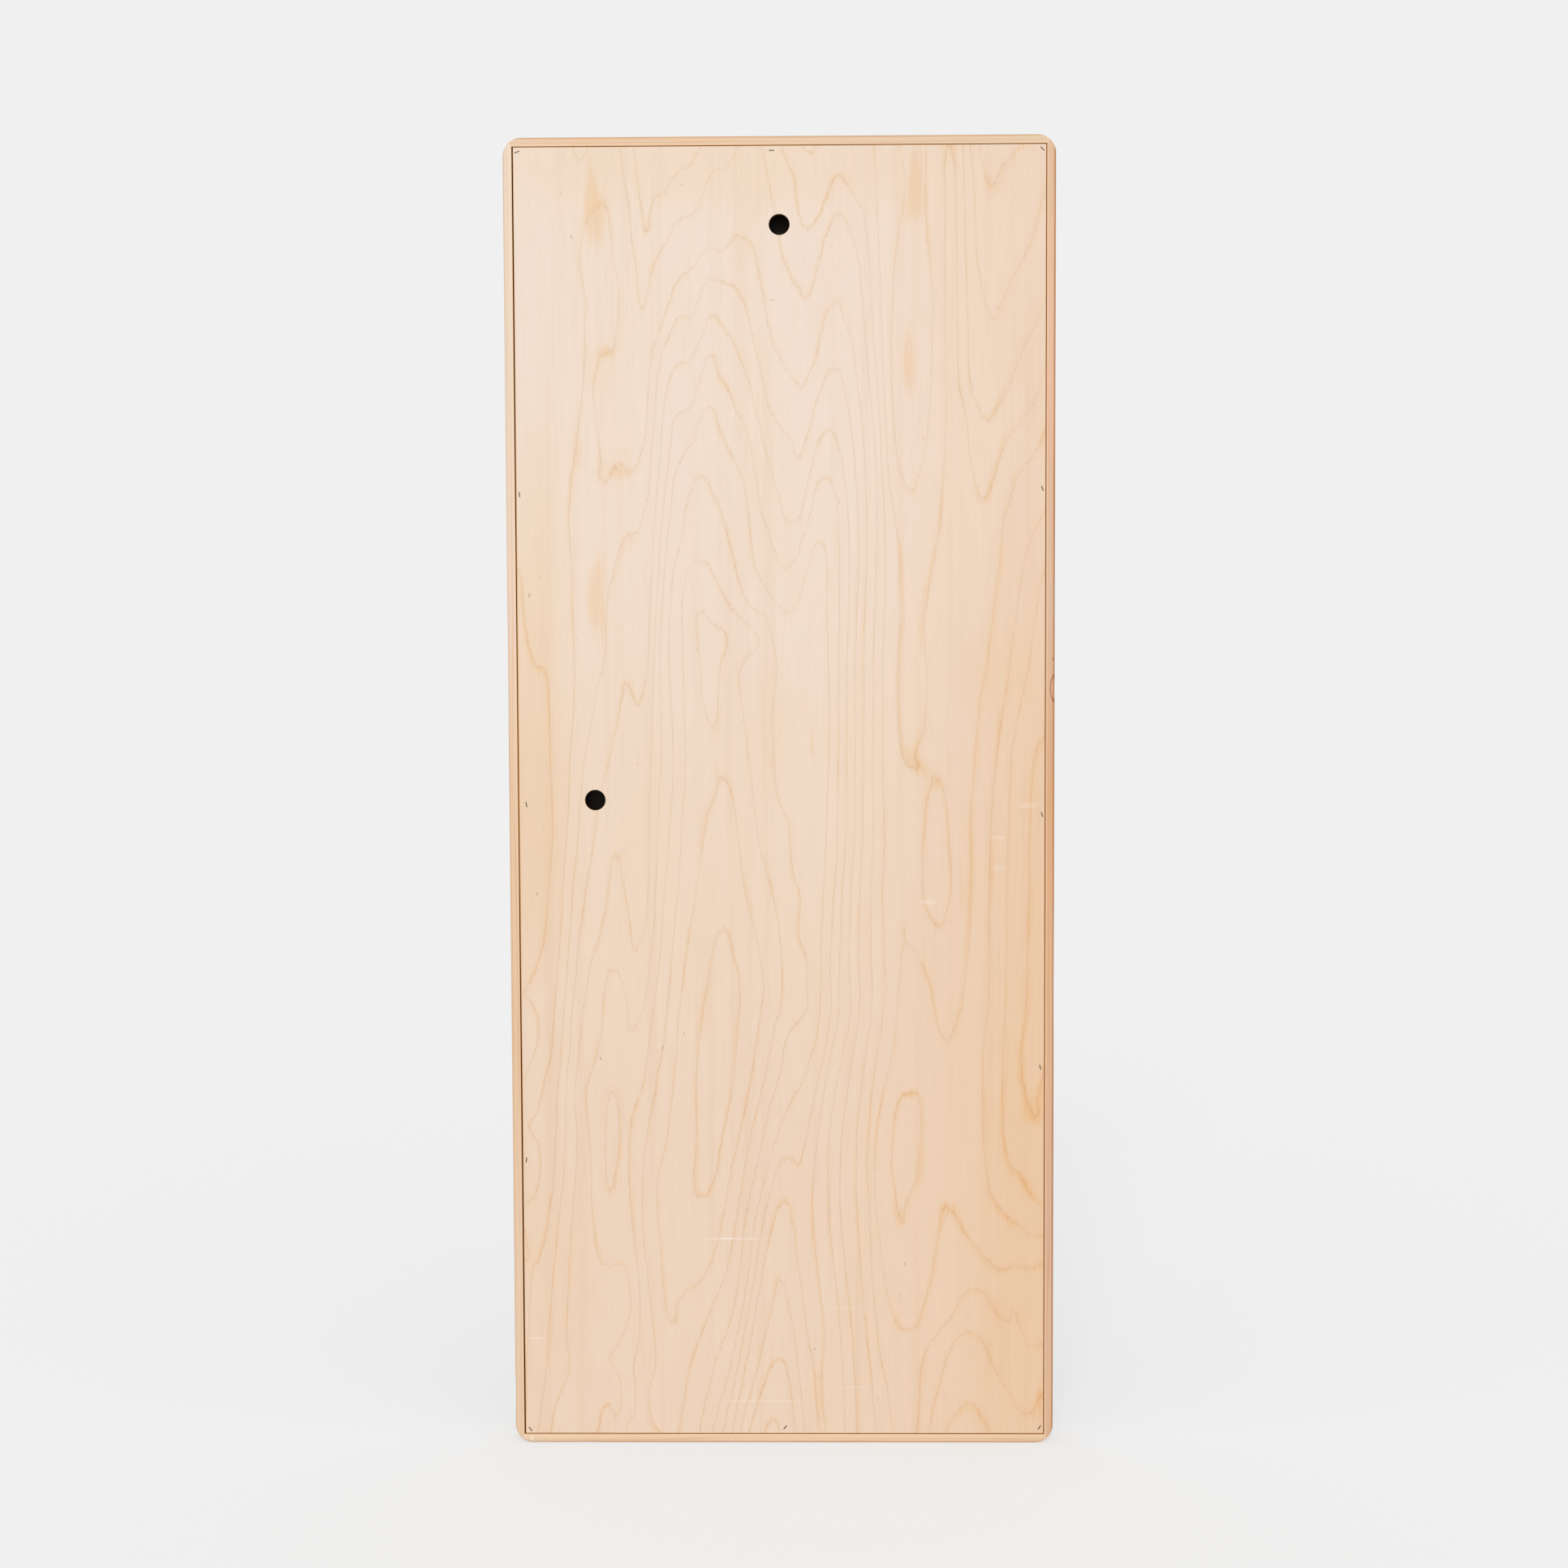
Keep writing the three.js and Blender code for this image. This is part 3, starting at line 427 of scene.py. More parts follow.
def colour_of(label, about, value):
    """A colour property."""
    return bpy.props.FloatVectorProperty(
        name=label,
        description=about,
        default=value,
        size=3,
        min=0.0,
        max=1.0,
        subtype="COLOR",
    )


class BoardSizes(bpy.types.PropertyGroup):
    """Sizes of the board's details."""

    arris: size_of("Arris radius", "Round-over along the frame's outer edges", 3.0)
    corner: size_of("Corner radius", "Radius of the frame's four outer corners", 25.4)
    lip: size_of("Lip width", "Width of the rails beside the two panels", 12.7)
    rail: size_of("Rail width", "Width of the rails behind the lips", 31.75)
    back_rebate: size_of("Back rebate", "Depth of the step that holds the back panel", 7.0)
    deck_rebate: size_of("Deck rebate", "Depth of the step that holds the deck", 13.3)
    ease: size_of("Eased edge", "Sanding round-over of the panels and the lips", 0.4)
    hole: size_of("Hang hole", "Diameter of the two hang holes", 28.6)
    cell: size_of("Veneer mesh", "Size of the faces that carry the veneer's figure", 5.0)
    wire: size_of("Staple wire", "Width of the staples' wire", 1.2)
    crown: size_of("Staple crown", "Width of the staples over the legs", 7.0)
    screw_head: size_of("Screw head", "Diameter of the deck screws' heads", 8.4)
    screw_drive: size_of("Screw drive", "Width of the square in the screws' heads", 2.4)


class BoardColours(bpy.types.PropertyGroup):
    """Colours of the board's finishes."""

    # The veneer's drift from pale upper left to warmer, darker lower right is partly its own tone and partly painted
    # shade of the light falling off from the upper left
    veneer: colour_of("Veneer", "Veneer, upper left", lit(243, 224, 208))
    veneer_low: colour_of("Veneer, low", "Veneer, lower left", lit(239, 214, 191))
    veneer_right_shaded: colour_of("Veneer, right", "Veneer at its warmer right edge", lit(237, 204, 173))
    grain: colour_of("Grain line", "Tint of a growth line, as a multiplier", (0.885, 0.855, 0.785))
    grain_low: colour_of("Grain line, low", "Tint of a growth line low on the panel", (0.89, 0.82, 0.72))
    blush: colour_of("Grain blush", "Tint beside a growth line, as a multiplier", (0.985, 0.86, 0.67))
    stain: colour_of("Mineral streak", "Tint of the darker streaks", (0.98, 0.83, 0.60))
    ply: colour_of("Plywood edge", "Crossband layers on the panel's cut edges", lit(196, 152, 106))
    rail_left: colour_of("Left rail", "Left rail at its palest", lit(242, 221, 200))
    rail_right: colour_of("Right rail", "Right rail at its palest", lit(234, 193, 163))
    rail_head: colour_of("Head rail", "Head rail at its palest", lit(238, 209, 181))
    rail_foot: colour_of("Foot rail", "Foot rail at its palest", lit(242, 213, 184))
    film: colour_of("Deck film", "Phenolic film on the deck", (0.028, 0.014, 0.009))
    steel: colour_of("Staple steel", "Staple wire", (0.24, 0.20, 0.165))
    black: colour_of("Screw black", "Black oxide on the deck screws", (0.13, 0.13, 0.14))
    pine: colour_of("Strip pine", "Strips that carry the deck", lit(226, 190, 138))
    beech: colour_of("Tenon beech", "Loose tenons in the mitres", lit(214, 168, 122))
    floor: colour_of("Floor", "Studio floor", (0.36, 0.36, 0.36))
    floor_glow: colour_of("Floor glow", "Light the floor gives of its own, as a lit sweep does", (0.48, 0.48, 0.48))
    wall: colour_of("Wall", "Light all round the studio", linear(240, 240, 240))


# ---------------------------------------------------------------- finishes


class Value:
    """An output on its way through a finish; sums with it add Math nodes."""

    def __init__(self, finish, node, out=0):
        self.finish, self.made, self.socket = finish, node, node.outputs[out]

    def __getitem__(self, out):
        """Another output of the same node."""
        return Value(self.finish, self.made, out)

    def math(self, operation, *others):
        """A Math node with this value first."""
        return self.finish.math(operation, self, *others)

    def __add__(self, other):
        return self.math("ADD", other)

    def __radd__(self, other):
        return self.finish.math("ADD", other, self)

    def __sub__(self, other):
        return self.math("SUBTRACT", other)

    def __rsub__(self, other):
        return self.finish.math("SUBTRACT", other, self)

    def __mul__(self, other):
        return self.math("MULTIPLY", other)

    def __rmul__(self, other):
        return self.finish.math("MULTIPLY", other, self)

    def __truediv__(self, other):
        return self.math("DIVIDE", other)

    def __rtruediv__(self, other):
        return self.finish.math("DIVIDE", other, self)

    def __pow__(self, other):
        return self.math("POWER", other)

    def __abs__(self):
        return self.math("ABSOLUTE")

    def positive(self):
        """The value, or 0 where it is less."""
        return self.math("MAXIMUM", 0.0)

    def bell(self, width):
        """1 where the value is 0, fading to 0 over the width on both sides."""
        return 1 / (1 + (self / width) ** 2 * ((self / width) ** 2 + 1))

    def rise(self, low, high):
        """0 below low, 1 above high, and smooth between."""
        return self.finish.node(
            "ShaderNodeMapRange",
            {"interpolation_type": "SMOOTHSTEP"},
            {"Value": self, "From Min": low, "From Max": high},
        )


class Finish:
    """One material, mixed from nodes."""

    def __init__(self, name):
        self.material = bpy.data.materials.new(name)
        self.material.use_nodes = True
        self.tree = self.material.node_tree
        self.tree.nodes.clear()
        self.tree.nodes.new("ShaderNodeOutputMaterial")
        self.place = self.node("ShaderNodeTexCoord")["Object"]

    def node(self, kind, settings=None, inputs=None, out=0):
        """Adds a node: its settings first, then the values or links of its sockets."""
        made = self.tree.nodes.new(kind)
        for name, value in (settings or {}).items():
            if name == "stops":
                self.set_stops(made.color_ramp, value)
            else:
                setattr(made, name, value)
        for key, value in (inputs or {}).items():
            if isinstance(value, Value):
                self.tree.links.new(value.socket, made.inputs[key])
            else:
                made.inputs[key].default_value = value
        return Value(self, made, out)

    @staticmethod
    def set_stops(ramp, stops):
        """Gives a colour ramp its (place, colour) stops."""
        while len(ramp.elements) < len(stops):
            ramp.elements.new(1.0)
        for element, (position, colour) in zip(ramp.elements, stops):
            element.position = position
            element.color = colour

    def math(self, operation, *terms):
        """One Math node on numbers or values."""
        return self.node("ShaderNodeMath", {"operation": operation}, dict(enumerate(terms)))

    def vector(self, operation, *terms, out=0):
        """One Vector Math node."""
        return self.node("ShaderNodeVectorMath", {"operation": operation}, dict(enumerate(terms)), out)

    def mix(self, factor, first, second, blend="MIX"):
        """Two colours mixed; each is four numbers or a link."""
        return self.node(
            "ShaderNodeMix",
            {"data_type": "RGBA", "blend_type": blend, "clamp_factor": True},
            {0: factor, 6: first, 7: second},
            2,
        )

    def tinted(self, colour, amount, tint):
        """The colour multiplied by the tint, as far as the amount says."""
        return self.mix(amount, colour, rgba(tint), "MULTIPLY")

    def noise(self, per_metre, detail, rough, seed):
        """Noise from -0.5 to 0.5 with that many bumps to the metre along x, y and z."""
        spread = self.vector("MULTIPLY_ADD", self.place, per_metre, (seed, seed * 1.7, seed * 2.3))
        return self.node(
            "ShaderNodeTexNoise",
            {"noise_dimensions": "3D"},
            {"Vector": spread, "Scale": 1.0, "Detail": detail, "Roughness": rough},
        ) - 0.5

    def attribute(self, name):
        """A number kept on the mesh."""
        return self.node("ShaderNodeAttribute", {"attribute_name": name}, out="Fac")

    def millimetres(self):
        """x, y and z of the surface, in millimetres."""
        scaled = self.vector("MULTIPLY", self.place, (1000.0, 1000.0, 1000.0))
        parts = self.node("ShaderNodeSeparateXYZ", None, {0: scaled})
        return parts["X"], parts["Y"], parts["Z"]

    def facing(self):
        """The surface's own direction, split in x, y and z."""
        parts = self.node("ShaderNodeSeparateXYZ", None, {0: self.node("ShaderNodeNewGeometry")["Normal"]})
        return parts["X"], parts["Y"], parts["Z"]

    def spot(self, x, z, across, up):
        """1 at a place on the board, in millimetres, fading to 0 over the two half-widths."""
        squeeze = (1000.0 / across, 0.0, 1000.0 / up)
        here = self.vector("MULTIPLY_ADD", self.place, squeeze, (-x / across, 0.0, -z / up))
        away = self.vector("LENGTH", here, out="Value")
        return 1 - away.rise(0.4, 1.0)

    def done(self, colour, roughness, bump=None, depth=0.0002, **uniform):
        """Closes the finish: a Principled surface with those looks."""
        inputs = {"Base Color": colour, "Roughness": roughness}
        if bump is not None:
            inputs["Normal"] = self.node("ShaderNodeBump", None, {"Height": bump, "Distance": depth, "Strength": 1.0})
        inputs.update({name.replace("_", " ").title().replace("Ior", "IOR"): v for name, v in uniform.items()})
        surface = self.node("ShaderNodeBsdfPrincipled", None, inputs)
        output = next(n for n in self.tree.nodes if n.type == "OUTPUT_MATERIAL")
        self.tree.links.new(surface.socket, output.inputs["Surface"])
        return self.material


# ---------------------------------------------------------------- figure


def grain_samples():
    """Points along the grain lines and the ring each belongs to."""
    points, rings = [], []
    for ring, line in GRAIN_LINES:
        corners = np.array(line, float)
        for start, end in zip(corners[:-1], corners[1:]):
            count = max(1, int(np.ceil(np.hypot(*(end - start)) / GRAIN_STEP)))
            points.extend(start + (end - start) * i / count for i in range(count))
            rings.extend([ring] * count)
        points.append(corners[-1])
        rings.append(ring)
    return np.array(points), np.array(rings, float)


def cells_at(points, cell, columns, rows):
    """Which four grid points surround each point, and how near it is to each."""
    u = np.clip((points[:, 0] - GRAIN_BOX[0]) / cell, 0, columns - 1.001)
    v = np.clip((points[:, 1] - GRAIN_BOX[2]) / cell, 0, rows - 1.001)
    i, j = u.astype(int), v.astype(int)
    a, b = u - i, v - j
    near = np.stack([j * columns + i, j * columns + i + 1, (j + 1) * columns + i, (j + 1) * columns + i + 1])
    return near, np.stack([(1 - a) * (1 - b), a * (1 - b), (1 - a) * b, a * b])


def grid_size(cell):
    """How many grid points the panel takes across and up."""
    return (
        int(round((GRAIN_BOX[1] - GRAIN_BOX[0]) / cell)) + 1,
        int(round((GRAIN_BOX[3] - GRAIN_BOX[2]) / cell)) + 1,
    )


def settle(cell, start, rounds, tension):
    """The smoothest sheet of ring numbers that still passes through every grain line."""
    columns, rows = grid_size(cell)
    points, rings = grain_samples()
    near, share = cells_at(points, cell, columns, rows)

    def spread(values):
        return GRAIN_PULL * np.bincount(near.ravel(), (share * values).ravel(), columns * rows)

    def stiffness(flat):
        sheet = flat.reshape(rows, columns)
        out = np.zeros_like(sheet)
        bend = sheet[:, :-2] - 2 * sheet[:, 1:-1] + sheet[:, 2:]
        out[:, :-2] += bend
        out[:, 1:-1] -= 2 * bend
        out[:, 2:] += bend
        bend = sheet[:-2] - 2 * sheet[1:-1] + sheet[2:]
        out[:-2] += bend
        out[1:-1] -= 2 * bend
        out[2:] += bend
        twist = 2 * (sheet[1:, 1:] - sheet[1:, :-1] - sheet[:-1, 1:] + sheet[:-1, :-1])
        out[1:, 1:] += twist
        out[1:, :-1] -= twist
        out[:-1, 1:] -= twist
        out[:-1, :-1] += twist
        slope = tension * (sheet[:, 1:] - sheet[:, :-1])
        out[:, 1:] += slope
        out[:, :-1] -= slope
        slope = tension * (sheet[1:] - sheet[:-1])
        out[1:] += slope
        out[:-1] -= slope
        return out.ravel()

    def apply(flat):
        return spread((share * flat[near]).sum(0)) + stiffness(flat)

    flat = start.ravel().copy()
    left = spread(rings) - apply(flat)
    held = np.bincount(near.ravel(), (share**2).ravel(), columns * rows)
    scale = GRAIN_PULL * held + 20 + 4 * tension
    step = left / scale
    along, strength = step.copy(), left @ step
    for _ in range(rounds):
        pushed = apply(along)
        amount = strength / (along @ pushed)
        flat += amount * along
        left -= amount * pushed
        step = left / scale
        renewed = left @ step
        along = step + renewed / strength * along
        strength = renewed
        if strength < 1e-9:
            break
    return flat.reshape(rows, columns)


def sampled(sheet, cell, x, z):
    """The sheet's value at each x, z in millimetres."""
    near, share = cells_at(np.stack([x, z], 1), cell, sheet.shape[1], sheet.shape[0])
    return (share * sheet.ravel()[near]).sum(0)


def ring_sheet():
    """The growth rings over the whole panel, settled on ever finer grids."""
    sheet, held = None, None
    for cell, rounds, tension in ((24.0, 600, 0.05), (12.0, 500, 0.02), (GRAIN_CELL, 500, 0.01)):
        columns, rows = grid_size(cell)
        if sheet is None:
            start = np.full((rows, columns), 2.0)
        else:
            x = np.tile(GRAIN_BOX[0] + np.arange(columns) * cell, rows)
            z = np.repeat(GRAIN_BOX[2] + np.arange(rows) * cell, columns)
            start = sampled(sheet, held, x, z)
        sheet, held = settle(cell, start, rounds, tension), cell
    return sheet


# x, z, half-widths across and up, and strength of each darker streak, in millimetres
STREAKS = (
    (-252, 1722, 15, 44, 0.9), (-262, 1755, 8, 50, 0.6), (-257, 1190, 14, 48, 0.9), (-250, 1240, 9, 30, 0.5),
    (186, 1736, 18, 32, 0.8), (190, 1785, 13, 34, 0.6), (180, 1520, 10, 50, 0.9), (43, 990, 5, 22, 0.8),
    (40, 917, 2.5, 4, 0.7), (24, 745, 3, 26, 0.6), (179, 498, 14, 5, 1.0), (190, 400, 4, 60, 0.5),
    (167, 324, 5, 17, 0.9), (335, 537, 6, 34, 0.7), (-223, 1370, 22, 13, 0.7), (-217, 1395, 9, 11, 0.5),
    (-240, 1538, 10, 8, 0.9), (-254, 1500, 5, 11, 0.7), (-341, 1145, 15, 10, 0.3), (50, 70, 5, 52, 0.5),
    (216, 935, 11, 10, 0.6), (239, 785, 3, 22, 0.6), (-213, 1283, 10, 6, 0.5), (-196, 1700, 4, 30, 0.3),
    (232, 335, 10, 7, 0.5), (-228, 836, 8, 9, 0.5), (-207, 592, 7, 8, 0.5),
)

# x, z, half-widths across and up, and strength of each broad warmer area, in millimetres
WARM_AREAS = (
    (-350, 920, 60, 250, 1.0), (-340, 1260, 40, 170, 0.6), (-60, 1790, 330, 60, 0.5), (360, 700, 70, 900, 0.35),
    (-330, 250, 60, 160, 0.3), (-330, 560, 30, 90, -0.3), (-15, 1010, 30, 80, 0.4), (300, 1090, 60, 60, 0.4),
)


def soft_areas(areas, x, z):
    """How strongly a list of soft-edged areas covers each x, z in millimetres."""
    total = np.zeros_like(x)
    for middle_x, middle_z, across, up, strength in areas:
        away = ((x - middle_x) / across) ** 2 + ((z - middle_z) / up) ** 2
        total += strength * np.exp(-(away**1.5))
    return np.clip(total, 0, 1)


# ---------------------------------------------------------------- shapes


def piece(name, vertices, faces, material, slot, *nodes):
    """A new piece of the board that stands for those CAD nodes."""
    mesh = bpy.data.meshes.new(name)
    mesh.from_pydata([tuple(v) for v in vertices], [], faces)
    made = bpy.data.objects.new(name, mesh)
    bpy.context.scene.collection.objects.link(made)
    tidy(made)
    dress(made, material)
    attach(made, "root")
    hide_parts(*nodes)
    return made


def tidy(made, angle=38.0):
    """Welds a piece's mesh, turns its faces out and shades it smooth between its edges."""
    shape = bmesh.new()
    shape.from_mesh(made.data)
    bmesh.ops.remove_doubles(shape, verts=shape.verts, dist=WELD)
    bmesh.ops.dissolve_degenerate(shape, edges=shape.edges, dist=WELD)
    bmesh.ops.recalc_face_normals(shape, faces=shape.faces)
    shape.to_mesh(made.data)
    shape.free()
    made.data.polygons.foreach_set("use_smooth", [True] * len(made.data.polygons))
    made.data.set_sharp_from_angle(angle=math.radians(angle))


def dress(made, material):
    """Gives a piece its only material."""
    made.data.materials.clear()
    made.data.materials.append(material)


def tube_faces(rings, count):
    """The faces of a tube of rings with count points each, capped at both ends."""
    faces = []
    for start in range(0, (rings - 1) * count, count):
        for k in range(count):
            a, b = start + k, start + (k + 1) % count
            faces.append((a, b, b + count, a + count))
    faces.append(tuple(range(count))[::-1])
    faces.append(tuple(range((rings - 1) * count, rings * count)))
    return faces


def turned(profile, steps, centre):
    """A shape turned round the y axis: the profile's (radius, y) points, capped at both ends."""
    vertices = []
    for radius, y in profile:
        for k in range(steps):
            turn = math.tau * k / steps
            vertices.append((centre.x + radius * math.cos(turn), y, centre.z + radius * math.sin(turn)))
    return vertices, tube_faces(len(profile), steps)


def joined(shapes):
    """Several (vertices, faces) as one."""
    vertices, faces = [], []
    for some_vertices, some_faces in shapes:
        start = len(vertices)
        vertices.extend(some_vertices)
        faces.extend(tuple(start + i for i in face) for face in some_faces)
    return vertices, faces


def cut(made, tools):
    """Cuts the tools, closed (vertices, faces), out of a piece for good."""
    mesh = bpy.data.meshes.new("cutter")
    vertices, faces = joined(tools)
    mesh.from_pydata(vertices, [], faces)
    cutter = bpy.data.objects.new("cutter", mesh)
    bpy.context.scene.collection.objects.link(cutter)
    shape = bmesh.new()
    shape.from_mesh(mesh)
    bmesh.ops.recalc_face_normals(shape, faces=shape.faces)
    shape.to_mesh(mesh)
    shape.free()
    change = made.modifiers.new("cut", "BOOLEAN")
    change.operation, change.object, change.solver = "DIFFERENCE", cutter, "MANIFOLD"
    held = bpy.context.evaluated_depsgraph_get()
    result = bpy.data.meshes.new_from_object(made.evaluated_get(held))
    made.modifiers.clear()
    old, made.data = made.data, result
    result.name = made.name
    bpy.data.meshes.remove(old)
    bpy.data.objects.remove(cutter)
    bpy.data.meshes.remove(mesh)
    if len(result.polygons) < 6:
        raise RuntimeError(f"{made.name} was lost in a cut")


def places_of(mesh):
    """The places of a mesh's points, one row each."""
    places = np.empty(len(mesh.vertices) * 3)
    mesh.vertices.foreach_get("co", places)
    return places.reshape(-1, 3)


def middle_of(node):
    """The middle of a CAD node's box."""
    low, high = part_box(node)
    return (Vector(low) + Vector(high)) / 2


def rail_profile(sizes):
    """The rail's section as (inset, y, whether it follows the round corner)."""
    back, face = LOW.y, HIGH.y
    arris, ease, lip, rail = sizes.arris, sizes.ease, sizes.lip, sizes.rail
    points = [(0.0, 0.0, True)]
    points += [(inset, back + depth, True) for inset, depth in reversed(bow(arris))]
    points += [(lip - inset, back + depth, False) for inset, depth in bow(ease)]
    points += [(lip, back + sizes.back_rebate, False), (rail, back + sizes.back_rebate, False)]
    points += [(rail, face - sizes.deck_rebate, False), (lip, face - sizes.deck_rebate, False)]
    points += [(lip - inset, face - depth, False) for inset, depth in reversed(bow(ease))]
    points += [(inset, face - depth, True) for inset, depth in bow(arris)]
    return points


def bow(radius):
    """A round-over from the flat face, (radius, 0), to the edge, (0, radius)."""
    return [
        (radius * (1 - math.sin(turn)), radius * (1 - math.cos(turn)))
        for turn in (math.pi / 2 * k / ROUND_OVER_STEPS for k in range(ROUND_OVER_STEPS + 1))
    ]


def rail_shape(sizes, length, place, dents):
    """One mitred rail. place turns (along, inset, y) into a point; dents are (along, reach, depth)."""
    corner = sizes.corner
    quarter_turn = [math.pi / 4 * (1 + k / ROUND_OVER_STEPS) for k in range(ROUND_OVER_STEPS + 1)]
    ends = [(corner - corner * math.cos(turn), turn) for turn in quarter_turn]
    straight = {sizes.rail, length - sizes.rail, *np.linspace(0.06, length - 0.06, int(length / 0.03))}
    for middle, reach, _ in dents:
        straight.update(np.linspace(middle - reach, middle + reach, 15))
    half = math.pi / 2
    stations = ends + [(a, half) for a in sorted(straight)]
    stations += [(length - a, math.pi - turn) for a, turn in reversed(ends)]
    profile = rail_profile(sizes)
    vertices = []
    for along, turn in stations:
        for inset, y, follows in profile:
            if follows and turn < half:
                a = corner - (corner - inset) * math.cos(turn)
                b = corner - (corner - inset) * math.sin(turn)
            elif follows and turn > half:
                a = length - corner - (corner - inset) * math.cos(turn)
                b = corner - (corner - inset) * math.sin(turn)
            else:
                a, b = min(max(along, inset), length - inset), inset
            if follows and turn == half:
                for middle, reach, depth in dents:
                    b += depth * max(0.0, 1 - ((along - middle) / reach) ** 2) * max(0.0, 1 - inset / sizes.arris)
            vertices.append(place(a, b, y))
    return vertices, tube_faces(len(stations), len(profile))


def slab(left, right, bottom, top, face, inner, ease, cell):
    """A panel with a fine grid on its face, eased edges and a plain inner side.

    left and right give the x of its sides at each height.
    """
    outward = 1 if face > inner else -1
    columns = max(2, int(round((right(0) - left(0)) / cell)))
    rows = max(2, int(round((top - bottom) / cell)))
    wide = columns + 1
    vertices = []
    for j in range(rows + 1):
        z = bottom + ease + (top - bottom - 2 * ease) * j / rows
        start, end = left(z) + ease, right(z) - ease
        vertices.extend((start + (end - start) * i / columns, face, z) for i in range(wide))
    faces = [
        (row + i, row + i + 1, row + wide + i + 1, row + wide + i)
        for row in range(0, rows * wide, wide)
        for i in range(columns)
    ]
    rim = list(range(wide))
    rim += [j * wide + columns for j in range(1, rows + 1)]
    rim += [rows * wide + i for i in range(columns - 1, -1, -1)]
    rim += [j * wide for j in range(rows - 1, 0, -1)]
    across, up = (left(0) + right(0)) / 2, (bottom + top) / 2
    for shift, y in ((0.3, face - outward * 0.3 * ease), (1.0, face - outward * ease), (1.0, inner)):
        started = len(vertices)
        for i in rim:
            x, _, z = vertices[i]
            on_side = min(abs(x - left(z) - ease), abs(x - right(z) + ease)) < NEAR
            on_end = min(abs(z - bottom - ease), abs(z - top + ease)) < NEAR
            vertices.append((
                x + shift * ease * on_side * (1 if x > across else -1),
                y,
                z + shift * ease * on_end * (1 if z > up else -1),
            ))
        previous = rim if shift == 0.3 else list(range(started - len(rim), started))
        for k in range(len(rim)):
            n = (k + 1) % len(rim)
            faces.append((previous[n], previous[k], started + k, started + n))
    faces.append(tuple(range(len(vertices) - len(rim), len(vertices))))
    return vertices, faces


# ---------------------------------------------------------------- the board's finishes


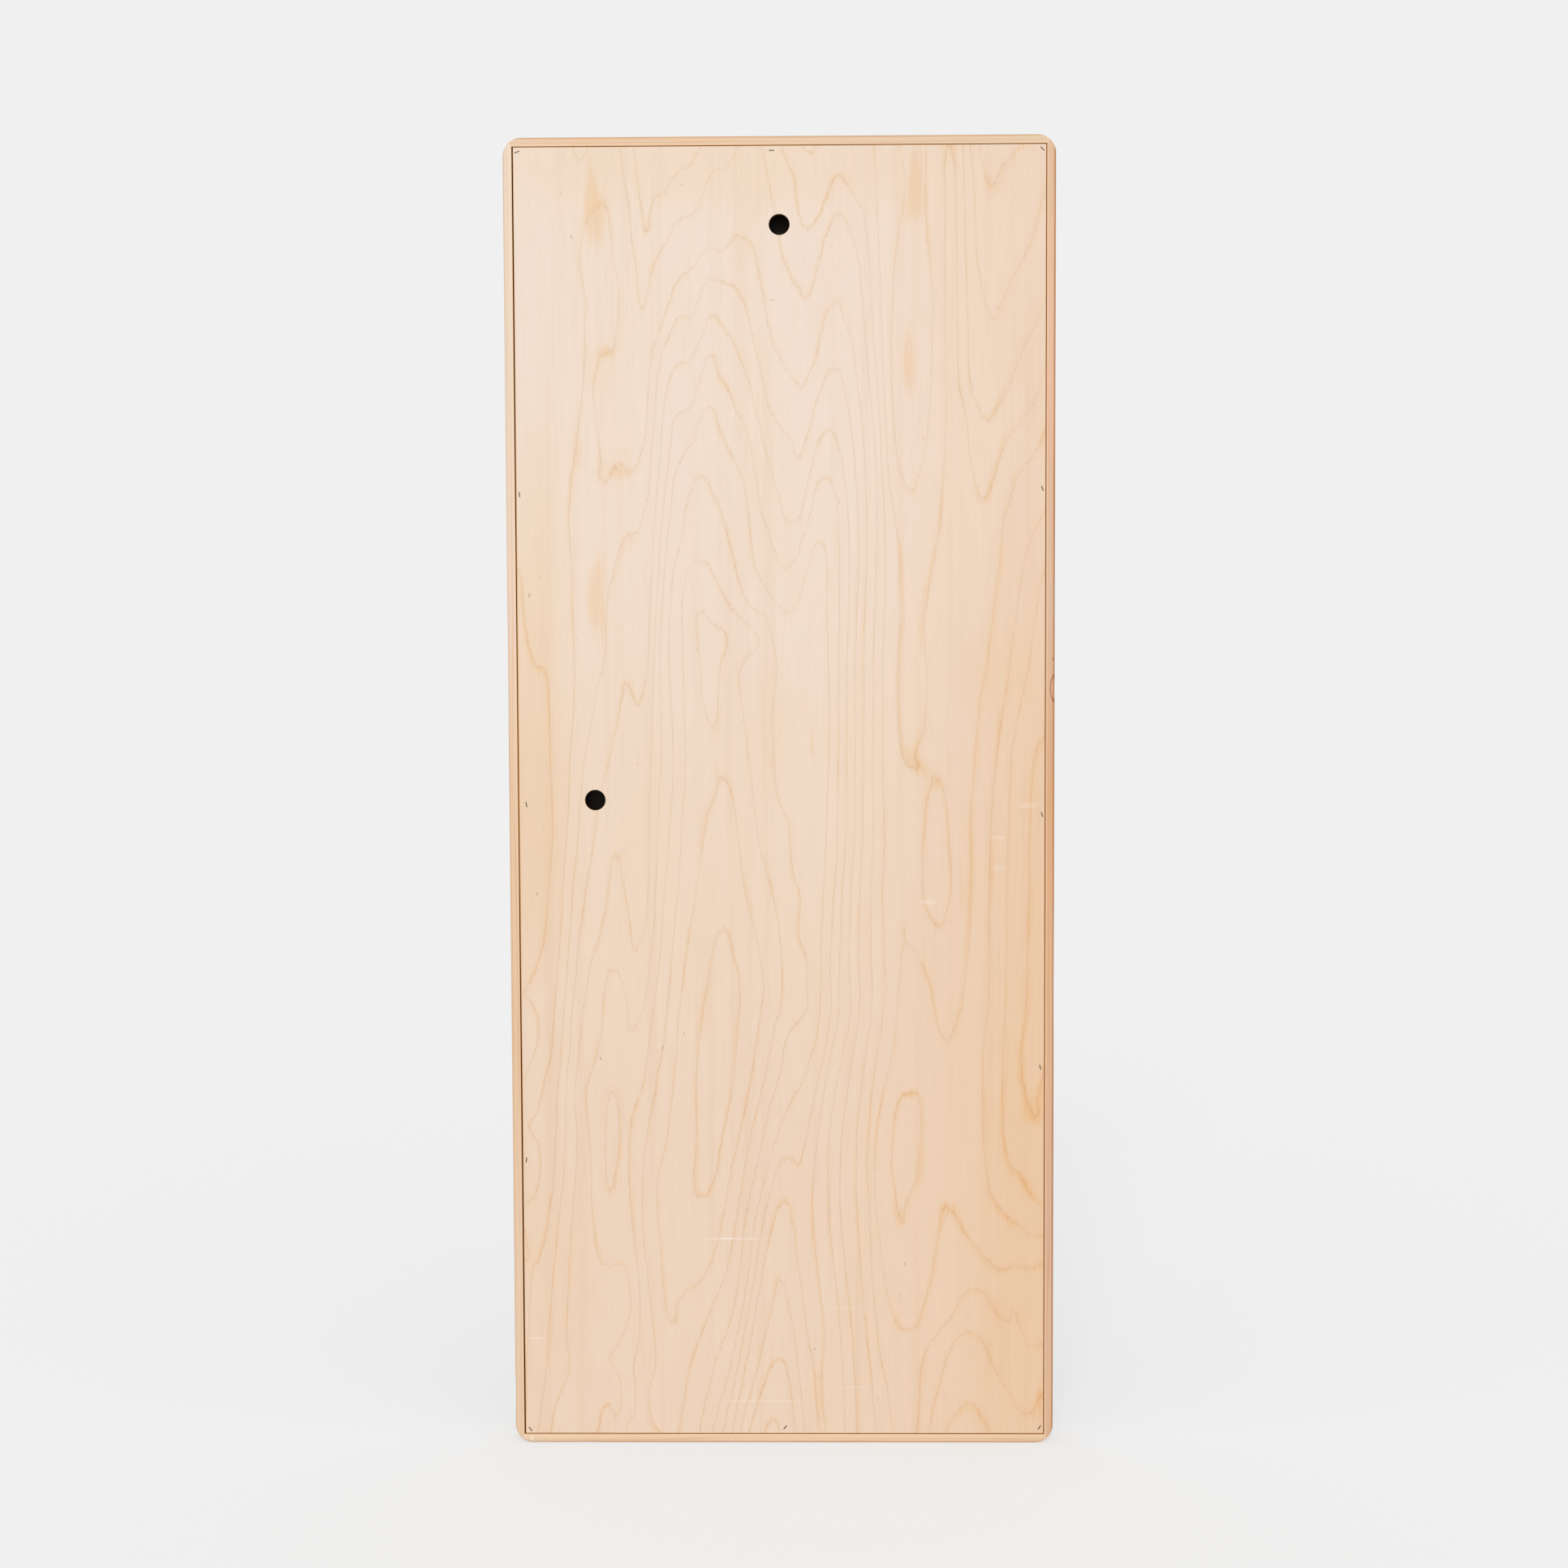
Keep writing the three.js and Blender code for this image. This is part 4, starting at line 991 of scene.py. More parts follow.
def veneer_finish(colours):
    """Rotary-cut maple veneer: thin growth lines with a blush on one side, streaks, flecks and scuffs."""
    f = Finish("maple_veneer")
    x, y, z = f.millimetres()
    # Partly the veneer's own tone, partly painted shade: darker and warmer towards the foot and the right
    right = x.rise(40.0, 400.0)
    low = 1 - z.rise(350.0, 1500.0)
    colour = f.mix(low, rgba(colours.veneer), rgba(colours.veneer_low))
    colour = f.mix(right * (0.45 + 0.55 * low), colour, rgba(colours.veneer_right_shaded))
    colour = f.tinted(colour, f.attribute("grain_warmth"), (0.985, 0.93, 0.82))
    cloud = f.noise((6.0, 6.0, 1.8), 3.0, 0.55, 3.0)
    colour = f.tinted(colour, (cloud * 2.4).positive(), (0.985, 0.95, 0.87))
    colour = f.tinted(colour, (cloud * -2.2).positive(), (0.99, 0.955, 0.96))
    band = f.noise((60.0, 60.0, 0.9), 3.0, 0.6, 11.0)
    colour = f.tinted(colour, (band * 2.0).positive(), (0.95, 0.90, 0.84))
    mottle = f.noise((200.0, 200.0, 14.0), 3.0, 0.6, 41.0)
    colour = f.tinted(colour, (mottle * 1.3).positive(), (0.97, 0.93, 0.88))
    fibre = f.noise((900.0, 900.0, 16.0), 3.0, 0.6, 7.0)
    colour = f.tinted(colour, (fibre + 0.05).positive(), (0.90, 0.86, 0.82))

    spread = f.attribute("grain_spread")
    sway = f.noise((110.0, 110.0, 45.0), 4.0, 0.62, 5.0) * 3.4
    torn = f.noise((270.0, 270.0, 8.0), 3.0, 0.68, 19.0) * 20.0
    ring = f.attribute("grain_ring") + sway * spread + torn * f.attribute("grain_rise")
    aside = (ring - ring.math("ROUND")) / (spread + 0.004)
    patchy = f.noise((24.0, 24.0, 7.0), 2.0, 0.5, 17.0)
    lean = f.noise((14.0, 14.0, 3.0), 1.0, 0.5, 29.0) * 16.0
    slack = 1 - spread.rise(0.012, 0.05)
    line = aside.bell(0.55) * (0.98 + patchy * 0.9 - 0.25 * slack)
    flush = (patchy + 0.03) * 2.2 + 0.3 * slack + 0.12 * low
    blush = ((aside - lean) / (1 + right * 0.8)).bell(2.8) * flush.math("MAXIMUM", 0.1) * (1 + mottle * 2.5)
    comb = f.noise((330.0, 330.0, 11.0), 3.0, 0.6, 23.0)
    streak = f.attribute("grain_streak")
    stain = (streak + comb * 1.6).rise(0.15, 0.95) * streak.rise(0.02, 0.25)
    colour = f.tinted(colour, blush * (0.7 + right * 0.35), colours.blush)
    colour = f.tinted(colour, stain * 0.55, colours.stain)
    colour = f.tinted(colour, line * (1 - low), colours.grain)
    colour = f.tinted(colour, line * low, colours.grain_low)

    flecks = f.node(
        "ShaderNodeTexVoronoi",
        {"feature": "F1"},
        {"Vector": f.vector("MULTIPLY", f.place, (60.0, 60.0, 18.0)), "Scale": 1.0},
    )
    chosen = f.node("ShaderNodeSeparateColor", None, {0: flecks["Color"]})["Red"]
    fleck = (1 - flecks["Distance"].rise(0.03, 0.09)) * chosen.rise(0.86, 0.9)
    colour = f.tinted(colour, fleck * 0.35, (0.72, 0.56, 0.42))

    marks = 0.0
    for at_x, at_z, across, up, strength in PIN_MARKS:
        marks = f.spot(at_x, at_z, across, up) * strength + marks
    colour = f.tinted(colour, marks.math("MINIMUM", 1.0), (0.50, 0.38, 0.28))
    scuffs = 0.0
    for at_x, at_z, across, up, strength in SCUFFS:
        scuffs = f.spot(at_x, at_z, across, up) * strength + scuffs
    scuffs = scuffs * (1 + f.noise((30.0, 1.0, 700.0), 2.0, 0.6, 31.0) * 1.8)
    colour = f.mix((scuffs * 0.6).positive(), colour, rgba(lit(250, 238, 226)))

    normal_y = abs(f.facing()[1])
    edge = 1 - normal_y.rise(0.55, 0.9)
    depth = y + VENEER_FACE
    glue = ((depth / PLY_LAYER).math("FRACT") - 0.5).bell(0.10)
    cross = (depth / (2 * PLY_LAYER)).math("FRACT").rise(0.45, 0.55)
    ply = f.mix(cross, rgba(colours.ply), rgba(colours.veneer_low))
    ply = f.tinted(ply, glue * 0.8, (0.45, 0.32, 0.22))
    # Painted shade in the gap round the panel: its cut edge darker below the face
    ply = f.tinted(ply, depth.rise(0.2, 1.0), (0.55, 0.42, 0.32))
    low_corner, high_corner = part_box("back_panel")
    middle, reach = (low_corner[0] + high_corner[0]) / 2 / MM, (high_corner[0] - low_corner[0]) / 2 / MM
    height = (high_corner[2] - low_corner[2]) / 2 / MM
    to_edge = (reach - abs(x - middle)).math("MINIMUM", height - abs(z - HALF_LENGTH))
    # Painted shade: the cut edge nearly dark brown deeper in the gap
    ply = f.tinted(ply, (1 - to_edge.rise(1.7, 2.7)) * depth.rise(0.1, 0.6), (0.30, 0.16, 0.08))
    ply = f.tinted(ply, f.noise((400.0, 900.0, 400.0), 3.0, 0.6, 2.0) + 0.3, (0.8, 0.72, 0.62))
    colour = f.mix(edge, colour, ply)
    # Painted shade: a brown line on the veneer within about a millimetre of its edge, for the shadow in the joint gap
    colour = f.tinted(colour, 1 - to_edge.rise(0.3, 1.1), (0.90, 0.64, 0.36))
    roughness = 0.56 - line * 0.08 + fibre * 0.16 - scuffs * 0.05
    grain = fibre + band * 0.4 - line * 0.35 - marks * 2.0 - fleck * 0.6 + scuffs * 0.2
    return f.done(colour, roughness, grain, 0.00012, specular_ior_level=0.14)


def rail_finish(name, palest, shades, upright, seed, arris_shade_and_wear):
    """Solid maple along the rail: straight grain, growth lines, arrises darkened by painted shade and a little wear,
    and shades of its palest colour.
    """
    f = Finish(name)
    x, y, z = f.millimetres()
    along, across = (z, x) if upright else (x, z)
    reach = 2 * (HALF_LENGTH if upright else HALF_WIDTH)
    start = 0.0 if upright else -HALF_WIDTH
    tone = f.node(
        "ShaderNodeValToRGB",
        {"stops": [(position, rgba(shade)) for position, shade in shades]},
        {"Fac": (along - start) / reach},
    )
    colour = f.mix(1.0, rgba(palest), tone, "MULTIPLY")
    stretch = (260.0, 260.0, 2.2) if upright else (2.2, 260.0, 260.0)
    fine = (1500.0, 1500.0, 25.0) if upright else (25.0, 1500.0, 1500.0)
    broad = (60.0, 60.0, 1.2) if upright else (1.2, 60.0, 60.0)
    drift = f.noise(broad, 2.0, 0.5, seed + 1.0)
    streaks = f.noise(stretch, 3.0, 0.6, seed + 2.0)
    fibre = f.noise(fine, 2.0, 0.6, seed + 3.0)
    rings = (across + y * 0.35) / 5.5 + drift * 5.0 + streaks * 0.12
    line = (rings - rings.math("ROUND")).bell(0.10) * (0.5 + streaks * 1.4).positive()
    colour = f.tinted(colour, (drift * 1.6).positive(), (0.93, 0.84, 0.74))
    colour = f.tinted(colour, (streaks * 1.8 + 0.05).positive(), (0.86, 0.75, 0.64))
    colour = f.tinted(colour, (fibre * 0.7).positive(), (0.84, 0.78, 0.72))
    colour = f.tinted(colour, line * 0.6, (0.84, 0.70, 0.56))
    inset = HALF_WIDTH - abs(x) if upright else HALF_LENGTH - abs(z - HALF_LENGTH)
    # Painted shade on the outer arrises, where the round-over turns from the light, with a little burnish from
    # handling
    outer = (1 - inset.rise(1.2, 3.8)) * abs(y).rise(18.6, 20.6)
    colour = f.tinted(colour, outer * arris_shade_and_wear * (0.95 + streaks * 1.2), (0.68, 0.47, 0.29))
    # Painted shade: the rebates that hold the panels are darkened deep brown for the shadow in the joint gaps
    rebate_shade = inset.rise(12.2, 12.7) * (HALF_DEPTH - abs(y)).rise(0.2, 0.8)
    colour = f.tinted(colour, rebate_shade, (0.26, 0.09, 0.028))
    colour = rail_marks(f, name, colour)
    normal = f.facing()
    edge = (abs(normal[0]).math("MAXIMUM", abs(normal[2])) - 0.55).bell(0.25)
    # Painted highlight: a pale band on the lip just beside the joint
    joint_highlight = inset.rise(9.4, 11.4) * (1 - inset.rise(11.6, 12.2))
    colour = f.mix(joint_highlight * 0.35, colour, rgba(lit(250, 226, 200)))
    # Painted shade: a brown line along the lip's inner edge, for the shadow in the joint gap
    colour = f.tinted(colour, inset.rise(11.7, 12.5), (0.90, 0.64, 0.36))
    roughness = 0.5 + streaks * 0.14 + fibre * 0.1 - edge * 0.06 + rebate_shade * 0.5
    grain = fibre * 0.8 + streaks * 0.5 - line * 0.3
    return f.done(colour, roughness, grain, 0.0001, specular_ior_level=0.14)


def rail_marks(f, name, colour):
    """The flame of darker grain on the right rail, and the pale and dark nicks at the foot's ends."""
    back = (0 - f.facing()[1]).rise(0.2, 0.7)
    if name == "maple_right":
        bend = f.vector("LENGTH", f.vector("MULTIPLY_ADD", f.place, FLAME_SCALE, FLAME_SHIFT), out="Value")
        flame = (bend - 0.95).bell(0.09)
        colour = f.tinted(colour, flame * back, (0.50, 0.30, 0.18))
        colour = f.tinted(colour, (1 - bend.rise(0.5, 0.95)) * back * 0.4, (0.95, 0.78, 0.64))
        colour = f.tinted(colour, f.spot(378.4, 1109.0, 1.6, 4.0) * back * 0.7, (0.62, 0.44, 0.30))
    if name == "maple_foot":
        colour = f.mix(f.spot(-358.0, 6.5, 4.0, 5.5) * back * 0.75, colour, rgba(lit(251, 226, 200)))
        colour = f.tinted(colour, f.spot(-362.0, 1.4, 3.4, 1.6) * back * 0.8, (0.55, 0.42, 0.34))
        colour = f.tinted(colour, f.spot(374.0, 6.0, 3.0, 2.2) * back * 0.8, (0.52, 0.36, 0.24))
    return colour


def film_finish(colours):
    """Brown phenolic film with a wire-mesh print on the side that is lain on, and bare ply at its cut edges."""
    f = Finish("deck_film")
    x, y, z = f.millimetres()
    rising, falling = (((x + z) / WIRE_PITCH).math("SINE"), ((x - z) / WIRE_PITCH).math("SINE"))
    print_rising, print_falling = abs(rising).rise(0.78, 1.0), abs(falling).rise(0.78, 1.0)
    crossing = print_rising * print_falling * (rising * falling).rise(-0.2, 0.2)
    outer = f.facing()[1].rise(0.6, 0.95)
    mesh = (print_rising.math("MAXIMUM", print_falling) - crossing * 0.35) * outer
    cloud = f.noise((6.0, 6.0, 3.0), 3.0, 0.6, 4.0)
    grit = f.noise((1400.0, 1400.0, 1400.0), 2.0, 0.6, 9.0)
    scuff = f.noise((9.0, 9.0, 220.0), 3.0, 0.65, 14.0).rise(0.14, 0.34) * outer
    cloudy, pressed = (rgba([part * times for part in colours.film]) for times in (1.8, 2.4))
    colour = f.mix((cloud + 0.4).positive() * 0.5, rgba(colours.film), cloudy)
    colour = f.mix(mesh * 0.35, colour, pressed)
    # The deck's inner face, seen through the hang holes: its smooth film darkened further, as painted shade of the
    # hollow inside the board
    colour = f.tinted(colour, (0 - f.facing()[1]).rise(0.5, 0.9), (0.55, 0.55, 0.45))
    colour = f.mix(scuff * 0.35, colour, rgba(lit(120, 92, 72)))
    edge = 1 - abs(f.facing()[1]).rise(0.5, 0.9)
    layers = ((DECK_FACE - y) / DECK_LAYER).math("FRACT").rise(0.4, 0.6)
    ply = f.mix(layers, rgba(colours.ply), rgba(colours.veneer_low))
    ply = f.tinted(ply, f.noise((600.0, 600.0, 600.0), 3.0, 0.6, 6.0) + 0.4, (0.72, 0.62, 0.52))
    colour = f.mix(edge * 0.9, colour, ply)
    roughness = 0.42 + grit * 0.2 - mesh * 0.08 + scuff * 0.2
    bump = mesh + grit * 0.12 + cloud * 0.2
    return f.done(colour, roughness, bump, 0.0004, specular_ior_level=0.12)


def steel_finish(name, base, metallic, seed):
    """Drawn or blackened steel: fine rub marks along it, dull in patches."""
    f = Finish(name)
    rub = f.noise((2500.0, 2500.0, 500.0), 3.0, 0.7, seed)
    dull = f.noise((300.0, 300.0, 300.0), 2.0, 0.5, seed + 5.0)
    colour = f.mix(rub + 0.5, rgba([c * 0.7 for c in base]), rgba([min(1.0, c * 1.5) for c in base]))
    colour = f.tinted(colour, (dull * 2.0).positive(), (0.6, 0.45, 0.35))
    return f.done(colour, 0.45 + rub * 0.3 + dull * 0.2, rub, 0.00003, metallic=metallic)


def strip_finish(name, base, seed, upright):
    """Plain softwood or beech, sawn: grain along the piece, with darker late wood."""
    f = Finish(name)
    x, y, z = f.millimetres()
    along = (90.0, 90.0, 2.0) if upright else (2.0, 90.0, 90.0)
    fine = (1200.0, 1200.0, 30.0) if upright else (30.0, 1200.0, 1200.0)
    wander = f.noise(along, 2.0, 0.5, seed)
    fibre = f.noise(fine, 2.0, 0.6, seed + 2.0)
    rings = ((x if upright else z) + y * 0.6) / 2.4 + wander * 4.0
    late = rings.math("FRACT") ** 4
    colour = f.tinted(rgba(base), late * 0.7, (0.84, 0.62, 0.40))
    colour = f.tinted(colour, (fibre + 0.2).positive(), (0.82, 0.74, 0.66))
    return f.done(colour, 0.68 + fibre * 0.15, fibre + late * 0.3, 0.0002, specular_ior_level=0.25)


# ---------------------------------------------------------------- operators


class RailsOperator(bpy.types.Operator):
    """Makes the frame's four mitred rails, with their rebates, round corners and eased edges"""

    bl_idname = "slant_board.rails"
    bl_label = "Frame rails"

    def execute(self, context):
        sizes, colours = context.scene.board_sizes, context.scene.board_colours
        rails = (
            ("rail_left", lambda a, b, y: (LOW.x + b, y, LOW.z + a), colours.rail_left),
            ("rail_right", lambda a, b, y: (HIGH.x - b, y, LOW.z + a), colours.rail_right),
            ("rail_head", lambda a, b, y: (LOW.x + a, y, HIGH.z - b), colours.rail_head),
            ("rail_foot", lambda a, b, y: (LOW.x + a, y, LOW.z + b), colours.rail_foot),
        )
        for seed, (node, place, palest) in enumerate(rails):
            upright = node in ("rail_left", "rail_right")
            length = HIGH.z - LOW.z if upright else HIGH.x - LOW.x
            finish = rail_finish(
                node.replace("rail", "maple"), palest, RAIL_SHADES[node], upright, 7.0 * seed, RAIL_ARRIS_SHADE_AND_WEAR[node]
            )
            shape = rail_shape(sizes, length, place, RAIL_DENTS[node])
            piece(f"{node}_maple", *shape, finish, "maple_rail", node)
        return {"FINISHED"}


class BackPanelOperator(bpy.types.Operator):
    """Makes the veneered back panel with its growth rings, hang holes and staple slots"""

    bl_idname = "slant_board.back_panel"
    bl_label = "Back panel"

    def execute(self, context):
        sizes, colours = context.scene.board_sizes, context.scene.board_colours
        low, high = (Vector(c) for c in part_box("back_panel"))

        def left(z):
            swell, middle, reach = LEFT_SWELL
            return low.x - swell * math.exp(-(((z - middle) / reach) ** 2))

        made = piece(
            "back_panel_veneer",
            *slab(left, lambda z: high.x, low.z, high.z, low.y, high.y, sizes.ease, sizes.cell),
            veneer_finish(colours),
            "maple_veneer",
            "back_panel",
        )
        tools = []
        for x, z in HOLE_PLACES:
            tools.append(hole_tool(Vector((x, 0, z)), sizes.hole / 2, low.y, high.y, sizes.ease * 1.6))
        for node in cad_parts:
            if node.startswith("staple_"):
                tools.append(slot_tool(node, sizes, low.y))
        cut(made, tools)
        tidy(made)
        self.store_figure(made.data)
        return {"FINISHED"}

    @staticmethod
    def store_figure(mesh):
        """Keeps the growth rings, how close they run and the streaks on the mesh, for the veneer's finish."""
        sheet = ring_sheet()
        x, _, z = places_of(mesh).T / MM
        slope_z, slope_x = np.gradient(sheet, GRAIN_CELL)
        values = {
            "grain_ring": sampled(sheet, GRAIN_CELL, x, z),
            "grain_spread": sampled(np.hypot(slope_x, slope_z), GRAIN_CELL, x, z),
            "grain_rise": sampled(slope_z, GRAIN_CELL, x, z),
            "grain_streak": soft_areas(STREAKS, x, z),
            "grain_warmth": soft_areas(WARM_AREAS, x, z),
        }
        for name, value in values.items():
            mesh.attributes.new(name, "FLOAT", "POINT").data.foreach_set("value", value.astype(np.float32))


def hole_tool(centre, radius, face, inner, ease):
    """A cutter for a round hole with eased edges, through the panel."""
    profile = [(radius + ease * 1.6, face - 0.002), (radius + ease, face)]
    profile += [(radius + inset, face + depth) for depth, inset in bow(ease)[::-1][1:]]
    profile += [(radius, inner - ease * 0.5), (radius + ease * 0.5, inner + 0.0001), (radius + ease, inner + 0.002)]
    return turned(profile, HOLE_STEPS, centre)


def staple_frame(node):
    """A staple's middle, and the direction of its crown, from its CAD solid."""
    flat = places_of(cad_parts[node].data)[:, [0, 2]]
    _, _, axes = np.linalg.svd(flat - flat.mean(0), full_matrices=False)
    return middle_of(node), Vector((axes[0][0], 0, axes[0][1])).normalized()


def slot_tool(node, sizes, face):
    """A cutter for the dent that a staple's crown presses into the veneer, wider at the face."""
    middle, along = staple_frame(node)
    side = Vector((-along.z, 0, along.x))
    half, reach = sizes.wire / 2, (sizes.crown - sizes.wire) / 2
    vertices = []
    for grow, depth in SLOT_RINGS:
        for end in (1, -1):
            for k in range(WIRE_STEPS + 1):
                turn = math.pi * (k / WIRE_STEPS - 0.5)
                out = end * (reach + (half + grow) * math.cos(turn))
                off = end * (half + grow) * math.sin(turn)
                spot = middle + along * out + side * off
                vertices.append((spot.x, face + depth, spot.z))
    return vertices, tube_faces(len(SLOT_RINGS), 2 * (WIRE_STEPS + 1))


class StaplesOperator(bpy.types.Operator):
    """Makes the wire staples that hold the back panel, sunk a little below the veneer"""

    bl_idname = "slant_board.staples"
    bl_label = "Staples"

    def execute(self, context):
        sizes, colours = context.scene.board_sizes, context.scene.board_colours
        finish = steel_finish("staple_wire", colours.steel, 0.85, 2.0)
        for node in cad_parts:
            if node.startswith("staple_"):
                piece(f"{node}_wire", *self.wire(node, sizes), finish, "staple_wire", node)
        return {"FINISHED"}

    @staticmethod
    def wire(node, sizes):
        """A wire bent square: two legs with chisel points and a crown, round at the bends."""
        low, high = (Vector(c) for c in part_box(node))
        middle, along = staple_frame(node)
        side = Vector((-along.z, 0, along.x))
        half = sizes.wire / 2
        reach, bend = sizes.crown / 2 - half, WIRE_BEND
        top, tip = low.y + half, high.y
        path = [(-reach, tip, 0.0), (-reach, tip - 0.0015, 1.0), (-reach, top + bend, 1.0)]
        path += [
            (-reach + bend * (1 - math.cos(turn)), top + bend * (1 - math.sin(turn)), 1.0)
            for turn in (math.pi / 2 * k / 6 for k in range(1, 7))
        ]
        path += [(-reach * 0.3, top + 0.00004, 1.0)]
        path += [(-s, y, thick) for s, y, thick in reversed(path)]
        vertices = []
        for k, (s, y, thick) in enumerate(path):
            before, after = path[max(0, k - 1)], path[min(len(path) - 1, k + 1)]
            way = Vector((after[0] - before[0], after[1] - before[1])).normalized()
            normal = Vector((-way.y, way.x))
            for n in range(WIRE_STEPS):
                turn = math.tau * n / WIRE_STEPS
                flat = abs(math.cos(turn)) ** 6 + abs(math.sin(turn)) ** 6
                swell = half * 0.92 / flat ** (1 / 6)
                out = swell * math.cos(turn) * max(0.12, thick)
                off = swell * math.sin(turn)
                spot = middle + along * (s + normal.x * out) + side * off
                vertices.append((spot.x, min(max(y + normal.y * out, low.y), high.y), spot.z))
        return vertices, tube_faces(len(path), WIRE_STEPS)


class DeckOperator(bpy.types.Operator):
    """Makes the film-faced deck that is lain on, with its countersunk screw holes"""

    bl_idname = "slant_board.deck"
    bl_label = "Deck"

    def execute(self, context):
        sizes, colours = context.scene.board_sizes, context.scene.board_colours
        low, high = (Vector(c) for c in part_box("deck_panel"))
        made = piece(
            "deck_film_panel",
            *slab(lambda z: low.x, lambda z: high.x, low.z, high.z, high.y, low.y, sizes.ease * 1.5, 0.03),
            film_finish(colours),
            "deck_film",
            "deck_panel",
        )
        radius = sizes.screw_head / 2
        tools = []
        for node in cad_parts:
            if node.startswith("deck_screw_"):
                centre, top = middle_of(node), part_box(node)[1][1]
                profile = [
                    (radius + 0.0013, high.y + 0.001),
                    (radius + 0.0006, high.y),
                    (radius + 0.00015, high.y - 0.0003),
                    (radius + 0.00015, top - 0.0003),
                    (0.0023, top - 0.0026),
                    (0.0023, low.y - 0.001),
                ]
                tools.append(turned(profile, COUNTERSINK_STEPS, centre))
        cut(made, tools)
        tidy(made, 20.0)
        return {"FINISHED"}


class DeckScrewsOperator(bpy.types.Operator):
    """Makes the countersunk square-drive screws that hold the deck to the rails"""

    bl_idname = "slant_board.deck_screws"
    bl_label = "Deck screws"

    def execute(self, context):
        sizes, colours = context.scene.board_sizes, context.scene.board_colours
        finish = steel_finish("black_screw", colours.black, 0.6, 6.0)
        turns = random.Random(3)
        for node in sorted(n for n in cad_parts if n.startswith("deck_screw_")):
            made = piece(f"{node}_steel", *self.screw(node, sizes), finish, "black_screw", node)
            cut(made, [self.drive(node, sizes, turns.uniform(0, math.tau))])
            tidy(made)
        return {"FINISHED"}

    @staticmethod
    def screw(node, sizes):
        """A head with a rim and a bevelled cone, and a ridged shank with a point."""
        low, high = (Vector(c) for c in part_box(node))
        top, tip, radius = high.y, low.y, sizes.screw_head / 2
        profile = [
            (radius - 0.0004, top),
            (radius - 0.00012, top - 0.0001),
            (radius, top - 0.0003),
            (radius, top - 0.00045),
            (0.0021, top - 0.0027),
            (0.0019, top - 0.0040),
        ]
        y = top - 0.0085
        while y > tip + 0.006:
            profile += [(0.0014, y), (0.0021, y - 0.0004), (0.0021, y - 0.00055), (0.0014, y - 0.0010)]
            y -= THREAD_PITCH
        profile += [(0.0014, tip + 0.0045), (0.0007, tip + 0.0015), (0.0001, tip)]
        return turned(profile, SCREW_STEPS, middle_of(node))

    @staticmethod
    def drive(node, sizes, turn):
        """A cutter for the square drive, tapering as it goes in."""
        centre, top = middle_of(node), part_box(node)[1][1]
        vertices = []
        for y, half in ((top + 0.0005, 0.54), (top - 0.0001, 0.5), (top - 0.0016, 0.44)):
            for k in range(4):
                corner = turn + math.pi / 4 + math.pi / 2 * k
                reach = sizes.screw_drive * half * math.sqrt(2)
                vertices.append((centre.x + reach * math.cos(corner), y, centre.z + reach * math.sin(corner)))
        faces = [(0, 1, 2, 3), (11, 10, 9, 8)]
        for ring in (0, 4):
            faces += [(ring + k, ring + 4 + k, ring + 4 + (k + 1) % 4, ring + (k + 1) % 4) for k in range(4)]
        return vertices, faces


class InnerWorkOperator(bpy.types.Operator):
    """Finishes the strips and loose tenons inside the board, which keep their own shapes"""

    bl_idname = "slant_board.inner_work"
    bl_label = "Strips and tenons"

    def execute(self, context):
        colours = context.scene.board_colours
        upright = strip_finish("pine_upright", colours.pine, 1.0, True)
        level = strip_finish("pine_level", colours.pine, 5.0, False)
        beech = strip_finish("beech_tenon", colours.beech, 9.0, True)
        for node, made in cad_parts.items():
            if node.startswith("stile_"):
                dress(made, upright)
            elif node.startswith("rib_"):
                dress(made, level)
            elif node.startswith("mitre_tenon_"):
                dress(made, beech)
        return {"FINISHED"}


